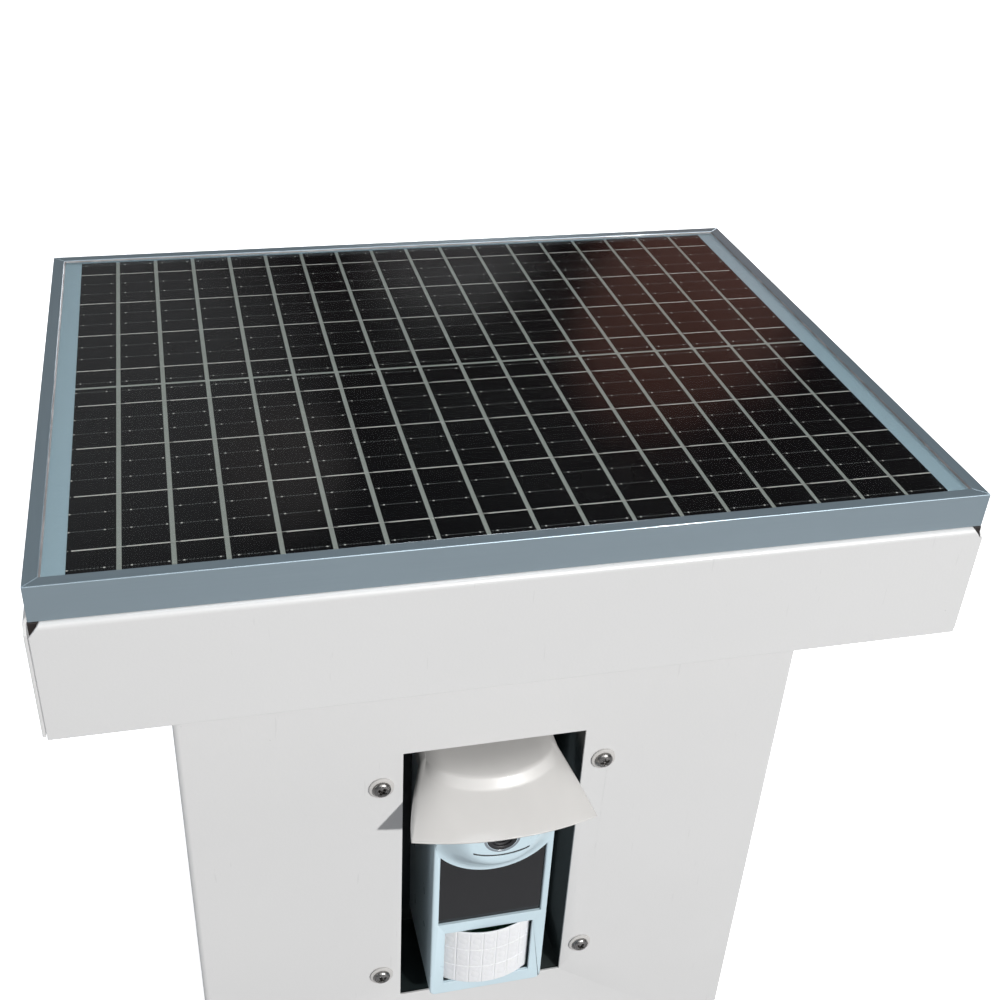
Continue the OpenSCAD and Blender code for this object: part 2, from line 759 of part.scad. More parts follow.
module battery_case() {
    color([0.13, 0.13, 0.14]) translate([0, bat_y + bat[1] / 2, floor_z]) {
        linear_extrude(bat[2] - 18) round_rect(bat[0] - 2, bat[1] - 2, 3);
        translate([0, 0, bat[2] - 18 - eps]) linear_extrude(18 + eps) round_rect(bat[0], bat[1], 4);
    }
}

module battery_terminals() {
    color("gray") for (x = [-75, 75]) translate([x, bat_y + bat[1] / 2, floor_z + bat[2]]) {
        translate([-7, -7, 0]) cube([14, 14, 5]);
        cylinder(d = 6, h = 8);
    }
}

module battery_strap() {
    t = 2;
    w = 20;
    y0 = bat_y - t;
    y1 = bat_y + bat[1] + t;
    top = floor_z + bat[2];
    color("lightgray") difference() {
        union() {
            translate([-w / 2, y0, floor_z]) cube([w, t, bat[2] + t]);
            translate([-w / 2, y1 - t, floor_z]) cube([w, t, bat[2] + t]);
            translate([-w / 2, y0, top]) cube([w, y1 - y0, t]);
            translate([-w / 2, y0 - 18, floor_z]) cube([w, 20, t]);
            translate([-w / 2, y1 - 2, floor_z]) cube([w, 20, t]);
        }
        for (p = strap_bolts) translate([p[0], p[1], 0]) cylinder(d = 5.4, h = 30);
    }
}

// ---- wiring, each lead along the route it is tied to ----

bat_top = floor_z + bat[2] + 8;
bat_mid = bat_y + bat[1] / 2;

module panel_lead() {
    color([0.1, 0.1, 0.1]) tube([[0, 80, panel_z + 0.7], [0, 80, 450], [0, 78, 436], [0, 70, 420],
        [0, 56, 408], [0, 38, 398], [0, 20, 388], [0, 4, 374], [0, -6, 356], [0, -10, 336],
        [0, -13, 316], [-2, -17, 298], [-8, -22, 284], [-17, -26, 279], [-25, -27, 283],
        [-28, -27, 292], [-28, -27, cc_z[0]]], 3);
}

module positive_wiring() {
    color("firebrick") {
        tube([[-75, bat_mid, bat_top], [-75, bat_mid, 200], [-78, 28, 216], [-86, 12, 234],
              [-98, -6, 252], [-108, -20, 272], [-110, -27, 286], [-110, -27, cc_z[0]]], 2);
        tube([[-68, -27, cc_z[0]], [-68, -27, 288], [-62, -24, 276], [-46, -10, 266],
              [-26, -2, 262], [-8, -4, 262], [4, -9, 266], [10, -12, 270], [ez_x[0] + 1, -12, 270]], 2);
    }
}

module negative_wiring() {
    color([0.05, 0.05, 0.05]) {
        tube([[75, bat_mid, bat_top], [75, bat_mid, 198], [66, 34, 206], [46, 33, 212],
              [16, 32, 216], [-16, 28, 222], [-46, 20, 232], [-70, 6, 246], [-84, -10, 262],
              [-90, -22, 276], [-90, -27, 288], [-90, -27, cc_z[0]]], 2);
        tube([[-56, -34, cc_z[0]], [-56, -34, 286], [-50, -32, 270], [-36, -28, 256],
              [-18, -22, 249], [-2, -16, 250], [8, -12, 254], [ez_x[0] + 1, -12, 255]], 2);
    }
}

module output_leads() {
    start = ez_face + 5.7;            // clear of the studs' collars
    color([0.75, 0.15, 0.1]) for (k = [0, 1]) {
        p = ez_studs[1 - k];
        tube([[p[0], start, p[1] - 3], [p[0], start, p[1] - 7], [p[0] + 2, start, p[1] - 13],
              [p[0] + 8, start + 4 + 6 * k, p[1] - 20], [p[0] + 22, 36 + 6 * k, p[1] - 22],
              [150 - 4 * k, 48, p[1] - 14 + 14 * k], [154, 56, term_z[k] - 30],
              [154, term_y, term_z[k] - 18], [154, term_y, term_z[k] - 3]], 2.5);
    }
}

// ---- output terminals ----

module terminal_insulators() {
    color([0.08, 0.08, 0.08]) for (z = term_z) difference() {
        union() {
            x_rod(term_y, z, 11, wall_x, wall_x + 5);
            x_rod(term_y, z, 7, wall_x - sheet - eps, wall_x + eps);
            x_rod(term_y, z, 11, wall_x - sheet - 4, wall_x - sheet);
        }
        x_rod(term_y, z, stud_d / 2 + 0.05, wall_x - 20, wall_x + 20);
    }
}

module terminal_studs() {
    color("silver") for (z = term_z) {
        x_rod(term_y, z, stud_d / 2, wall_x - 22, wall_x + 23);
        x_rod(term_y, z, 7, wall_x - 8.5, wall_x - 5.5);
    }
}

module terminal_knob(z) {
    ribs = 18;
    difference() {
        union() {
            x_rod(term_y, z, knob_d / 2, wall_x + 12, wall_x + 26);
            x_rod(term_y, z, 6, wall_x + 10.5, wall_x + 13);
        }
        x_rod(term_y, z, stud_d / 2 + 0.05, wall_x + 5, wall_x + 23.2);
        for (k = [0:ribs - 1]) translate([0, term_y, z]) rotate([360 * k / ribs, 0, 0])
            x_rod(knob_d / 2 + 0.5, 0, 1.1, wall_x + 13.5, wall_x + 30);
    }
}

module fence_knob() { color("firebrick") terminal_knob(term_z[1]); }
module earth_knob() { color("seagreen") terminal_knob(term_z[0]); }

// ---- rear door ----

module rear_door() {
    z1 = door_bot + door_h;
    h = door_w / 2;
    color("whitesmoke") difference() {
        xz_plate(-h, h, door_bot, z1, door_y, door_y + door_t);
        xz_plate(sheet - h, h - sheet, door_bot + sheet, z1 - sheet, door_y - 1, door_y + door_t - sheet);
        y_rod(lock_pos[0], lock_pos[1], 9.6, door_y, door_y + 30);
    }
}

module door_gasket() {
    y1 = door_y + door_t - sheet;
    color([0.1, 0.1, 0.1]) difference() {
        xz_plate(-open_w / 2 - 8, open_w / 2 + 8, open_z[0] - 8, open_z[1] + 8, back_y + 0.3, y1);
        xz_plate(-open_w / 2 - 1, open_w / 2 + 1, open_z[0] - 1, open_z[1] + 1, back_y - 5, y1 + 5);
    }
}

module hinge_frame_leaves() {
    knuckle = hinge_len / 2 - 0.3;
    color("silver") for (z = hinge_z) translate([hinge[0], hinge[1], z]) {
        cylinder(r = 5, h = knuckle);
        translate([-4, -10, 0]) cube([8, 8, knuckle]);
        cylinder(r = 2.5, h = hinge_len - 2);
    }
}

module hinge_door_leaves() {
    half = hinge_len / 2;
    color("silver") for (z = hinge_z) translate([hinge[0], hinge[1], z + half]) difference() {
        union() {
            cylinder(r = 5, h = half);
            translate([0, -3, 0]) cube([26, 1.5, half]);
        }
        translate([0, 0, -1]) cylinder(r = 2.55, h = half - 0.5);
    }
}

module lock_housing() {
    out_y = door_y + door_t;
    color("silver") translate([lock_pos[0], 0, lock_pos[1]]) difference() {
        union() {
            y_rod(0, 0, 9.5, back_y - 2.8, out_y + eps);
            y_rod(0, 0, 13, out_y, out_y + 3);
            translate([0, out_y - sheet, 0]) rotate([90, 0, 0]) cylinder(r = 14, h = 5, $fn = 6);
        }
        y_rod(0, 0, 6.05, back_y - 10, out_y + 10);
    }
}

module lock_cam() {
    out_y = door_y + door_t;
    color("gray") translate([lock_pos[0], 0, lock_pos[1]]) difference() {
        union() {
            y_rod(0, 0, 6, back_y - 5.5, out_y + 3.4);
            y_rod(0, 0, 9, back_y - 5.5, back_y - 3);
            xz_plate(-7, 7, -35, 0, back_y - 5.5, back_y - 3);
        }
        xz_plate(-0.6, 0.6, -3.5, 3.5, out_y, out_y + 5);
    }
}

panel_rail_front();
panel_rail_back();
panel_rail_left();
panel_rail_right();
panel_corner_keys();
panel_glass();
solar_cells();
cell_ribbons();
panel_backsheet();
junction_box();
rain_lid();
lid_gasket();
lid_grommet();
body_shell();
base_plate();
rubber_feet();
m5_bolts();
m5_nuts();
recess_box();
front_screws();
front_washers();
detector_base();
detector_cover();
detector_window();
detector_pir_lens();
detector_hood();
camera_barrel();
camera_lens();
detector_board();
detector_lead();
equipment_plate();
energizer_base();
energizer_cover();
energizer_board();
pulse_transformer();
storage_capacitors();
energizer_terminals();
switch_housing();
rocker_paddle();
power_knob();
controller_case();
controller_display();
controller_button();
battery_case();
battery_terminals();
battery_strap();
panel_lead();
positive_wiring();
negative_wiring();
output_leads();
terminal_insulators();
terminal_studs();
fence_knob();
earth_knob();
rear_door();
door_gasket();
hinge_frame_leaves();
hinge_door_leaves();
lock_housing();
lock_cam();
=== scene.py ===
"""Looks for the solar fence energizer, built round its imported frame.

Lengths in the lists below are in millimetres; MM turns them into the frame's metres.
"""
import json
import math
import random

import bmesh
import bpy
from mathutils import Matrix, Vector


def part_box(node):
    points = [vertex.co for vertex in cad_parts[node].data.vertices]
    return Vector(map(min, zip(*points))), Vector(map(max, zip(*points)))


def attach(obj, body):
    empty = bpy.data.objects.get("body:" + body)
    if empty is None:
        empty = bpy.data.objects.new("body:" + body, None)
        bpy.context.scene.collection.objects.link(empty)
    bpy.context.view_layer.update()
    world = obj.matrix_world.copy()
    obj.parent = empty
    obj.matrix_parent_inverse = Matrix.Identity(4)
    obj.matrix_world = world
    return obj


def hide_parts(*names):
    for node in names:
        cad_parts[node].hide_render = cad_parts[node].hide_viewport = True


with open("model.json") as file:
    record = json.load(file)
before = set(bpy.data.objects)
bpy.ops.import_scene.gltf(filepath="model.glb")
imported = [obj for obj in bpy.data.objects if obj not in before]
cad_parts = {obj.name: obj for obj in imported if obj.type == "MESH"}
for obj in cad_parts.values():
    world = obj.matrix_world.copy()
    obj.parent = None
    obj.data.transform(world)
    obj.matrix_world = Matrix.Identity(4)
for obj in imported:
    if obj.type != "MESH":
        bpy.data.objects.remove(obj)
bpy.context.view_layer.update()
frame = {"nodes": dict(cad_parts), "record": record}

MM = 0.001
BODY_OF = {n: b for b, ns in frame["record"]["behaviour"]["bodies"].items() for n in ns}


def mm_box(node):
    """A CAD node's lowest and highest corners, in millimetres."""
    return [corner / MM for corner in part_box(node)]


PANEL_LOW, PANEL_HIGH = mm_box("panel_rail_front")[0], mm_box("panel_rail_back")[1]
PANEL_TOP = PANEL_HIGH.z


# ---- camera, light and floor ----

AIM = Vector((0, 0, 0.3))             # what the lamps point at, in metres
# Soft glows that only mirrors see: (azimuth, height), spread in degrees, colour.
GLOWS = (((-5, 27), 8, (0.12, 0.12, 0.125, 1)), ((12.5, 20.5), 3.5, (0.12, 0.115, 0.12, 1)),
         ((4.5, 31), 2.5, (0.12, 0.11, 0.11, 1)), ((24.5, 22.5), 4, (0.20, 0.095, 0.08, 1)),
         ((22.5, 25.3), 3, (0.16, 0.07, 0.055, 1)), ((180, 50), 70, (0.30, 0.32, 0.34, 1)),
         ((150, 47), 14, (4.5, 4.5, 4.5, 1)), ((188, 47), 14, (2.5, 2.5, 2.5, 1)))
ROOM = (0.006, 0.004, 0.005, 1)       # what mirrors see where no glow is


def aim_camera():
    """The camera stands in front and to the left, looking down on the panel."""
    yaw, pitch, roll = math.radians(14.63), math.radians(33.71), math.radians(2.889)
    forward = Vector((math.sin(yaw) * math.cos(pitch), math.cos(yaw) * math.cos(pitch),
                      -math.sin(pitch)))
    level = Vector((math.cos(yaw), -math.sin(yaw), 0))
    upright = level.cross(forward)
    right = math.cos(roll) * level + math.sin(roll) * upright
    up = math.cos(roll) * upright - math.sin(roll) * level
    data = bpy.data.cameras.new("camera")
    data.sensor_width = 36
    data.lens = 46.74
    data.shift_x, data.shift_y = 0.0205, 0.0291
    data.clip_start = 0.01
    camera = bpy.data.objects.new("camera", data)
    turn = Matrix((right, up, -forward)).transposed().to_4x4()
    place = Vector((-147.5, -625.4, PANEL_TOP + 318.2)) * MM
    camera.matrix_world = Matrix.Translation(place) @ turn
    bpy.context.scene.collection.objects.link(camera)
    bpy.context.scene.camera = camera


def add_area(name, place, size, power, colour):
    """A round area light, aimed at the middle of the object."""
    data = bpy.data.lights.new(name, "AREA")
    data.shape = "DISK"
    data.size = size
    data.energy = power
    data.color = colour
    lamp = bpy.data.objects.new(name, data)
    lamp.location = place
    lamp.rotation_euler = (AIM - Vector(place)).to_track_quat("-Z", "Y").to_euler()
    bpy.context.scene.collection.objects.link(lamp)
    return lamp


def spare(lamp, pieces):
    """Lets this lamp shine on below pieces, as if a reflector filled in their shadow."""
    spared = bpy.data.collections.new("spared_by_" + lamp.name)
    for piece in pieces:
        spared.objects.link(piece)
    for entry in spared.collection_objects:
        entry.light_linking.link_state = "EXCLUDE"
    lamp.light_linking.blocker_collection = spared


def toward(azimuth, height):
    """Unit vector to a place in the sky: azimuth runs from +Y to +X, both in degrees."""
    a, h = math.radians(azimuth), math.radians(height)
    return Vector((math.sin(a) * math.cos(h), math.cos(a) * math.cos(h), math.sin(h)))


def light_studio():
    """A firm key from the front right and weak fills; gloss mirrors a dim room with soft glows."""
    bpy.context.scene.view_settings.view_transform = "Standard"
    key = add_area("key", (2.40, -5.49, 3.50), 0.27, 470, (1.0, 0.99, 0.98))
    add_area("overhead", (0.2, -0.2, 3.3), 1.2, 27, (0.90, 0.95, 1.0))
    add_area("fill_left", (-2.6, 0.4, 1.2), 1.6, 30, (0.95, 0.97, 1.0))
    add_area("fill_right", (2.6, 0.9, 1.3), 1.2, 22, (0.95, 0.97, 1.0))
    add_area("fill_back", (0.7, 2.8, 0.45), 0.9, 26, (0.95, 0.97, 1.0))
    world = bpy.data.worlds.new("studio")
    bpy.context.scene.world = world
    world.use_nodes = True
    world.cycles.sampling_method = "NONE"     # so that gloss sees only the room
    tree = world.node_tree
    tree.nodes.clear()
    link = tree.links.new
    out = tree.nodes.new("ShaderNodeOutputWorld")
    soft = tree.nodes.new("ShaderNodeBackground")
    soft.inputs["Color"].default_value = (0.90, 0.95, 1.0, 1)
    soft.inputs["Strength"].default_value = 0.15
    white = tree.nodes.new("ShaderNodeBackground")
    white.inputs["Color"].default_value = (1, 1, 1, 1)
    room = tree.nodes.new("ShaderNodeBackground")
    way = tree.nodes.new("ShaderNodeTexCoord").outputs["Generated"]
    colour = tree.nodes.new("ShaderNodeRGB")
    colour.outputs[0].default_value = ROOM
    shown = colour.outputs[0]
    for spot, spread, tint in GLOWS:
        dot = tree.nodes.new("ShaderNodeVectorMath")
        dot.operation = "DOT_PRODUCT"
        dot.inputs[1].default_value = toward(*spot)
        fade = tree.nodes.new("ShaderNodeMapRange")
        fade.interpolation_type = "SMOOTHSTEP"
        fade.inputs["From Min"].default_value = math.cos(math.radians(spread * 1.5))
        fade.inputs["From Max"].default_value = math.cos(math.radians(spread * 0.3))
        mix = tree.nodes.new("ShaderNodeMix")
        mix.data_type = "RGBA"
        mix.inputs[7].default_value = tint
        link(way, dot.inputs[0])
        link(dot.outputs["Value"], fade.inputs["Value"])
        link(fade.outputs[0], mix.inputs[0])
        link(shown, mix.inputs[6])
        shown = mix.outputs[2]
    link(shown, room.inputs["Color"])
    ray = tree.nodes.new("ShaderNodeLightPath")
    mirror = tree.nodes.new("ShaderNodeMixShader")
    seen = tree.nodes.new("ShaderNodeMixShader")
    link(ray.outputs["Is Glossy Ray"], mirror.inputs["Fac"])
    link(soft.outputs[0], mirror.inputs[1])
    link(room.outputs[0], mirror.inputs[2])
    link(ray.outputs["Is Camera Ray"], seen.inputs["Fac"])
    link(mirror.outputs[0], seen.inputs[1])
    link(white.outputs[0], seen.inputs[2])
    link(seen.outputs[0], out.inputs["Surface"])
    return key


def lay_floor():
    bm = bmesh.new()
    bmesh.ops.create_grid(bm, size=6)
    mesh = bpy.data.meshes.new("floor")
    bm.to_mesh(mesh)
    bm.free()
    floor = bpy.data.objects.new("floor", mesh)
    bpy.context.scene.collection.objects.link(floor)
    look = Look("pale_floor", Roughness=0.7)
    seen = look.add("ShaderNodeLightPath").outputs["Is Camera Ray"]
    pale = look.blend(look.noise(3, 3), rgb(0.93, 0.93, 0.93), rgb(0.96, 0.96, 0.96))
    look.paint("Base Color", look.blend(seen, rgb(0.30, 0.30, 0.31), pale))
    look.shader.inputs["Emission Color"].default_value = (1, 1, 1, 1)
    look.paint("Emission Strength", look.fit(seen, 0, 1, 0.08, 0.74))
    mesh.materials.append(look.material)


# ---- node materials ----

class Look:
    """One procedural material: a Principled shader and the nodes that drive it."""

    def __init__(self, name, **fixed):
        self.material = bpy.data.materials.new(name)
        self.material.use_nodes = True
        self.tree = self.material.node_tree
        self.shader = self.tree.nodes["Principled BSDF"]
        for socket, value in fixed.items():
            self.shader.inputs[socket.replace("_", " ")].default_value = value
        self.where = self.add("ShaderNodeTexCoord").outputs["Object"]

    def add(self, kind, inputs=None, **settings):
        node = self.tree.nodes.new(kind)
        for key, value in settings.items():
            setattr(node, key, value)
        for key, value in (inputs or {}).items():
            self.set_input(node, key, value)
        return node

    def set_input(self, node, key, value):
        if isinstance(value, bpy.types.NodeSocket):
            self.tree.links.new(value, node.inputs[key])
        else:
            node.inputs[key].default_value = value

    def stretched(self, scale):
        return self.add("ShaderNodeMapping", {"Vector": self.where, "Scale": scale}).outputs[0]

    def noise(self, scale, detail=3.0, roughness=0.5, at=None):
        return self.add("ShaderNodeTexNoise", {"Vector": at or self.where, "Scale": scale,
                                               "Detail": detail, "Roughness": roughness}).outputs["Fac"]

    def fit(self, value, low, high, to_low=0.0, to_high=1.0):
        return self.add("ShaderNodeMapRange", {"Value": value, "From Min": low, "From Max": high,
                                               "To Min": to_low, "To Max": to_high}).outputs["Result"]

    def specks(self, scale, size, share):
        """1 on a few small marks; size is their radius in cells, share how many cells have one."""
        node = self.add("ShaderNodeTexVoronoi", {"Vector": self.where, "Scale": scale})
        near = self.fit(node.outputs["Distance"], size, size * 0.6)
        pick = self.add("ShaderNodeSeparateXYZ", {0: node.outputs["Color"]}).outputs["X"]
        return self.math("MULTIPLY", near, self.math("LESS_THAN", pick, share))

    def math(self, operation, a, b=0.0):
        return self.add("ShaderNodeMath", {0: a, 1: b}, operation=operation).outputs[0]

    def blend(self, share, first, second):
        return self.add("ShaderNodeMix", {0: share, 6: first, 7: second}, data_type="RGBA").outputs[2]

    def axis(self, name):
        return self.add("ShaderNodeSeparateXYZ", {0: self.where}).outputs[name]

    def paint(self, socket, value):
        self.set_input(self.shader, socket, value)
        return self

    def bump(self, height, strength, distance):
        node = self.add("ShaderNodeBump", {"Height": height, "Strength": strength,
                                           "Distance": distance})
        return self.paint("Normal", node.outputs[0])


def rgb(r, g, b):
    return (r, g, b, 1.0)


def shade(colour, factor):
    return tuple(min(1.0, c * factor) for c in colour[:3]) + (1.0,)


def powder_coat(name, base, gloss=0.36):
    """Sprayed and baked paint: faint orange peel, uneven gloss, hair scratches and dust specks."""
    look = Look(name, Coat_Weight=0.35, Coat_Roughness=0.13)
    tone = look.blend(look.fit(look.noise(7, 4), 0.3, 0.7), base, shade(base, 0.975))
    hair = look.fit(look.noise(1, 2, 0.5, look.stretched((420, 420, 34))), 0.735, 0.76)
    tone = look.blend(look.math("MULTIPLY", hair, 0.16), tone, shade(base, 0.6))
    tone = look.blend(look.specks(34, 0.030, 0.16), tone, shade(base, 0.42))
    tone = look.blend(look.specks(90, 0.028, 0.10), tone, shade(base, 0.68))
    look.paint("Base Color", tone)
    look.paint("Roughness", look.fit(look.noise(22, 5), 0.3, 0.7, gloss - 0.05, gloss + 0.08))
    return look.bump(look.noise(620, 2, 0.4), 0.13, 0.0003).material


def anodised(name, base, along, rough=0.36):
    """Anodised extrusion with fine drawing lines, which run along the axis of that number."""
    scale = [2200, 2200, 2200]
    scale[along] = 14
    look = Look(name, Metallic=0.55, Specular_IOR_Level=0.4, Coat_Weight=1.0, Coat_Roughness=0.08)
    lines = look.noise(1.0, 4, 0.6, look.stretched(scale))
    tone = look.blend(look.fit(lines, 0.3, 0.7), shade(base, 0.97), shade(base, 1.03))
    tone = look.blend(look.fit(look.noise(9, 4), 0.35, 0.7, 0, 0.3), tone, shade(base, 0.82))
    tone = look.blend(look.specks(45, 0.03, 0.2), tone, shade(base, 0.45))
    look.paint("Base Color", tone)
    look.paint("Roughness", look.fit(lines, 0.3, 0.7, rough - 0.06, rough + 0.10))
    return look.bump(lines, 0.12, 0.0001).material


def moulded(name, base, rough=0.4, grain=0.15, gloss=0.0, scatter=0.0):
    """Injection moulded plastic: fine mould texture, faint flow marks and handling gloss."""
    look = Look(name, Coat_Weight=gloss, Coat_Roughness=0.08)
    if scatter:
        look.shader.inputs["Subsurface Weight"].default_value = scatter
        look.shader.inputs["Subsurface Radius"].default_value = (0.004, 0.004, 0.0035)
        look.shader.inputs["Subsurface Scale"].default_value = 0.6
    flow = look.noise(1, 3, 0.5, look.stretched((30, 18, 10)))
    tone = look.blend(look.fit(flow, 0.3, 0.7), base, shade(base, 0.93))
    tone = look.blend(look.specks(110, 0.03, 0.06), tone, shade(base, 0.45))
    look.paint("Base Color", tone)
    look.paint("Roughness", look.fit(look.noise(60, 4), 0.3, 0.7, rough - 0.05, rough + 0.07))
    return look.bump(look.noise(1600, 2, 0.5), grain, 0.00015).material


def bare_metal(name, base, rough=0.3, stain=0.85, scratch=0.15):
    """Zinc plated or stainless steel with hairline scratches and cloudy tone."""
    look = Look(name, Metallic=1.0)
    hair = look.noise(1, 3, 0.6, look.stretched((900, 120, 400)))
    look.paint("Base Color", look.blend(look.fit(look.noise(40, 5), 0.3, 0.7), base, shade(base, stain)))
    look.paint("Roughness", look.fit(hair, 0.3, 0.7, rough - 0.08, rough + 0.12))
    return look.bump(hair, scratch, 0.00008).material


def rubbery(name, base, rough=0.72):
    look = Look(name)
    dust = look.fit(look.noise(90, 5), 0.45, 0.75)
    look.paint("Base Color", look.blend(dust, base, shade(base, 1.8)))
    look.paint("Roughness", look.fit(look.noise(300, 3), 0.3, 0.7, rough - 0.08, rough + 0.1))
    return look.bump(look.noise(900, 3), 0.3, 0.0002).material


def backing(margin, gap, half_x, half_y):
    """White back sheet given a darker bluish tone at the margin, which is painted shade and painted sky
    reflection, greyer between the cells, with a fine fabric print.
    """
    look = Look("backsheet", Roughness=0.45)
    inside = look.math("MULTIPLY", look.math("LESS_THAN", look.math("ABSOLUTE", look.axis("X")), half_x),
                       look.math("LESS_THAN", look.math("ABSOLUTE", look.axis("Y")), half_y))
    tone = look.blend(inside, margin, gap)
    grain = look.fit(look.noise(900, 2), 0.3, 0.7, 0, 0.5)
    look.paint("Base Color", look.blend(grain, tone, look.blend(inside, shade(margin, 0.8), shade(gap, 0.8))))
    return look.bump(look.noise(900, 2), 0.1, 0.0001).material


def silicon(pitch):
    """Dark cells with fine printed fingers along Y, pitch metres apart, under a painted reflection that runs
    from bluish at the front left to brownish at the back right.
    """
    look = Look("silicon", Specular_IOR_Level=0.06)
    cloud = look.noise(9, 3)
    # Painted reflection: the cells turn from bluish at the front left to brownish at the back right, in
    # cloudy patches.
    lean = look.math("ADD", look.axis("X"), look.math("MULTIPLY", look.axis("Y"), 1.4))
    painted_reflection_share = look.fit(look.math("ADD", lean, look.math("MULTIPLY", cloud, 0.25)), -0.2, 0.5)
    tone = look.blend(painted_reflection_share, rgb(0.0005, 0.0007, 0.0011), rgb(0.0012, 0.0005, 0.0005))
    turn = look.math("FRACT", look.math("MULTIPLY", look.axis("X"), 1 / pitch))
    finger = look.fit(look.math("ABSOLUTE", look.math("SUBTRACT", turn, 0.5)), 0.11, 0.07)
    tone = look.blend(look.math("MULTIPLY", finger, 0.8), tone, rgb(0.007, 0.0065, 0.007))
    etch = look.noise(2600, 1)
    tone = look.blend(look.fit(etch, 0.45, 0.7, 0, 0.2), tone, rgb(0.003, 0.0025, 0.003))
    look.paint("Base Color", tone)
    look.paint("Roughness", look.fit(look.noise(14, 3), 0.3, 0.7, 0.2, 0.28))
    return look.bump(finger, 0.2, 0.00003).material


def tempered_glass():
    """Solar glass: bends what lies under it and mirrors softly; lamps shine straight through."""
    look = Look("tempered_glass")
    links = look.tree.links.new
    haze = look.fit(look.noise(45, 6, 0.65), 0.35, 0.75, 0.05, 0.09)
    bend = look.add("ShaderNodeBsdfRefraction", {"Color": rgb(0.97, 0.99, 0.98), "IOR": 1.5,
                                                 "Roughness": 0.0})
    mirror = look.add("ShaderNodeBsdfGlossy", {"Color": rgb(1, 1, 1), "Roughness": haze})
    edge = look.add("ShaderNodeFresnel", {"IOR": 1.5})
    glass = look.add("ShaderNodeMixShader", {0: edge.outputs[0], 1: bend.outputs[0],
                                             2: mirror.outputs[0]})
    clear = look.add("ShaderNodeBsdfTransparent", {"Color": rgb(0.97, 0.99, 0.98)})
    ray = look.add("ShaderNodeLightPath")
    straight = look.math("MAXIMUM", ray.outputs["Is Shadow Ray"], ray.outputs["Is Diffuse Ray"])
    join = look.add("ShaderNodeMixShader", {0: straight, 1: glass.outputs[0], 2: clear.outputs[0]})
    look.tree.nodes.remove(look.shader)
    links(join.outputs[0], look.tree.nodes["Material Output"].inputs["Surface"])
    return look.material


# ---- mesh helpers: bmeshes are drawn in millimetres ----

def put_box(bm, low, high):
    made = bmesh.ops.create_cube(bm, size=1)["verts"]
    for v in made:
        v.co = [low[i] + (v.co[i] + 0.5) * (high[i] - low[i]) for i in range(3)]
    return made


def stitch(bm, rings, closed=True):
    """Joins each ring of points to the next; a ring of one point is a pole."""
    for low, high in zip(rings, rings[1:]):
        count = max(len(low), len(high))
        for k in range(count if closed else count - 1):
            m = (k + 1) % count
            quad = [low[k % len(low)], low[m % len(low)], high[m % len(high)], high[k % len(high)]]
            face = list(dict.fromkeys(quad))
            if len(face) > 2:
                bm.faces.new(face)


def close_sheet(bm, outer, inner):
    """Closes two grids of points into one thin solid."""
    stitch(bm, outer, closed=False)
    stitch(bm, inner, closed=False)
    for outer_edge, inner_edge in ((outer[0], inner[0]), (outer[-1], inner[-1]),
                                   ([row[0] for row in outer], [row[0] for row in inner]),
                                   ([row[-1] for row in outer], [row[-1] for row in inner])):
        stitch(bm, [outer_edge, inner_edge], closed=False)


def across(axis):
    """Two directions square to axis and to each other, and axis itself at length 1."""
    axis = Vector(axis).normalized()
    side = Vector((0, 0, 1)) if abs(axis.z) < 0.9 else Vector((0, 1, 0))
    side = (side - side.dot(axis) * axis).normalized()
    return axis, side, axis.cross(side)


def put_lathe(bm, outline, place, axis, steps=48):
    """Revolves outline, a list of (radius, distance along axis), round axis through place."""
    axis, side, other = across(axis)
    rings = []
    for radius, along in outline:
        centre = Vector(place) + axis * along
        angles = [2 * math.pi * k / steps for k in range(steps if radius > 1e-6 else 1)]
        rings.append([bm.verts.new(centre + radius * (math.cos(a) * side + math.sin(a) * other))
                      for a in angles])
    stitch(bm, rings)


def put_ring(bm, inner, outer, low, high, place, axis, steps):
    """A flat ring or short tube between two distances along axis."""
    put_lathe(bm, [(inner, low), (outer, low), (outer, high), (inner, high), (inner, low)],
              place, axis, steps)


def put_pan_head(bm, place, axis, radius, height, turn=0.0, rings=24, steps=88):
    """A domed screw head with a tapered cross recess; its flat underside is centred on place."""
    axis, side, other = across(axis)
    arm, reach = 0.12 * radius, 0.56 * radius
    rows = []
    for i in range(rings + 1):
        r = radius * i / rings
        row = []
        for k in range(steps if i else 1):
            a = 2 * math.pi * k / steps
            near, far = sorted((abs(r * math.cos(a - turn)), abs(r * math.sin(a - turn))))
            wall = min(1, max(0, (1.5 * arm - near) / (0.8 * arm)))
            end = min(1, max(0, (reach - far) / (0.3 * reach)))
            dome = height * (1 - 0.34 * (r / radius) ** 2 - 0.30 * (r / radius) ** 8)
            rise = dome - 0.72 * height * min(wall, end)
            row.append(bm.verts.new(Vector(place) + axis * rise
                                    + r * (math.cos(a) * side + math.sin(a) * other)))
        rows.append(row)
    rim = [bm.verts.new(v.co - axis * (height * 0.36)) for v in rows[-1]]
    stitch(bm, rows + [rim, [bm.verts.new(place)]])


def put_hexagon(bm, place, axis, flats, height, bore):
    """A nut: six sides, chamfered corners and a bore, standing on place."""
    axis, side, other = across(axis)
    corner = flats / math.sqrt(3)

    def ring(radius, along, sharp):
        points = []
        for k in range(48):
            a = 2 * math.pi * k / 48
            fold = (a % (math.pi / 3)) - math.pi / 6
            r = min(radius, flats / 2 / math.cos(fold)) if sharp else radius
            points.append(bm.verts.new(Vector(place) + axis * along
                                       + r * (math.cos(a) * side + math.sin(a) * other)))
        return points

    stitch(bm, [ring(bore, 0, False), ring(flats / 2, 0, False), ring(corner, 0.12 * height, True),
                ring(corner, 0.88 * height, True), ring(flats / 2, height, False),
                ring(bore, height, False), ring(bore, 0.02, False)])


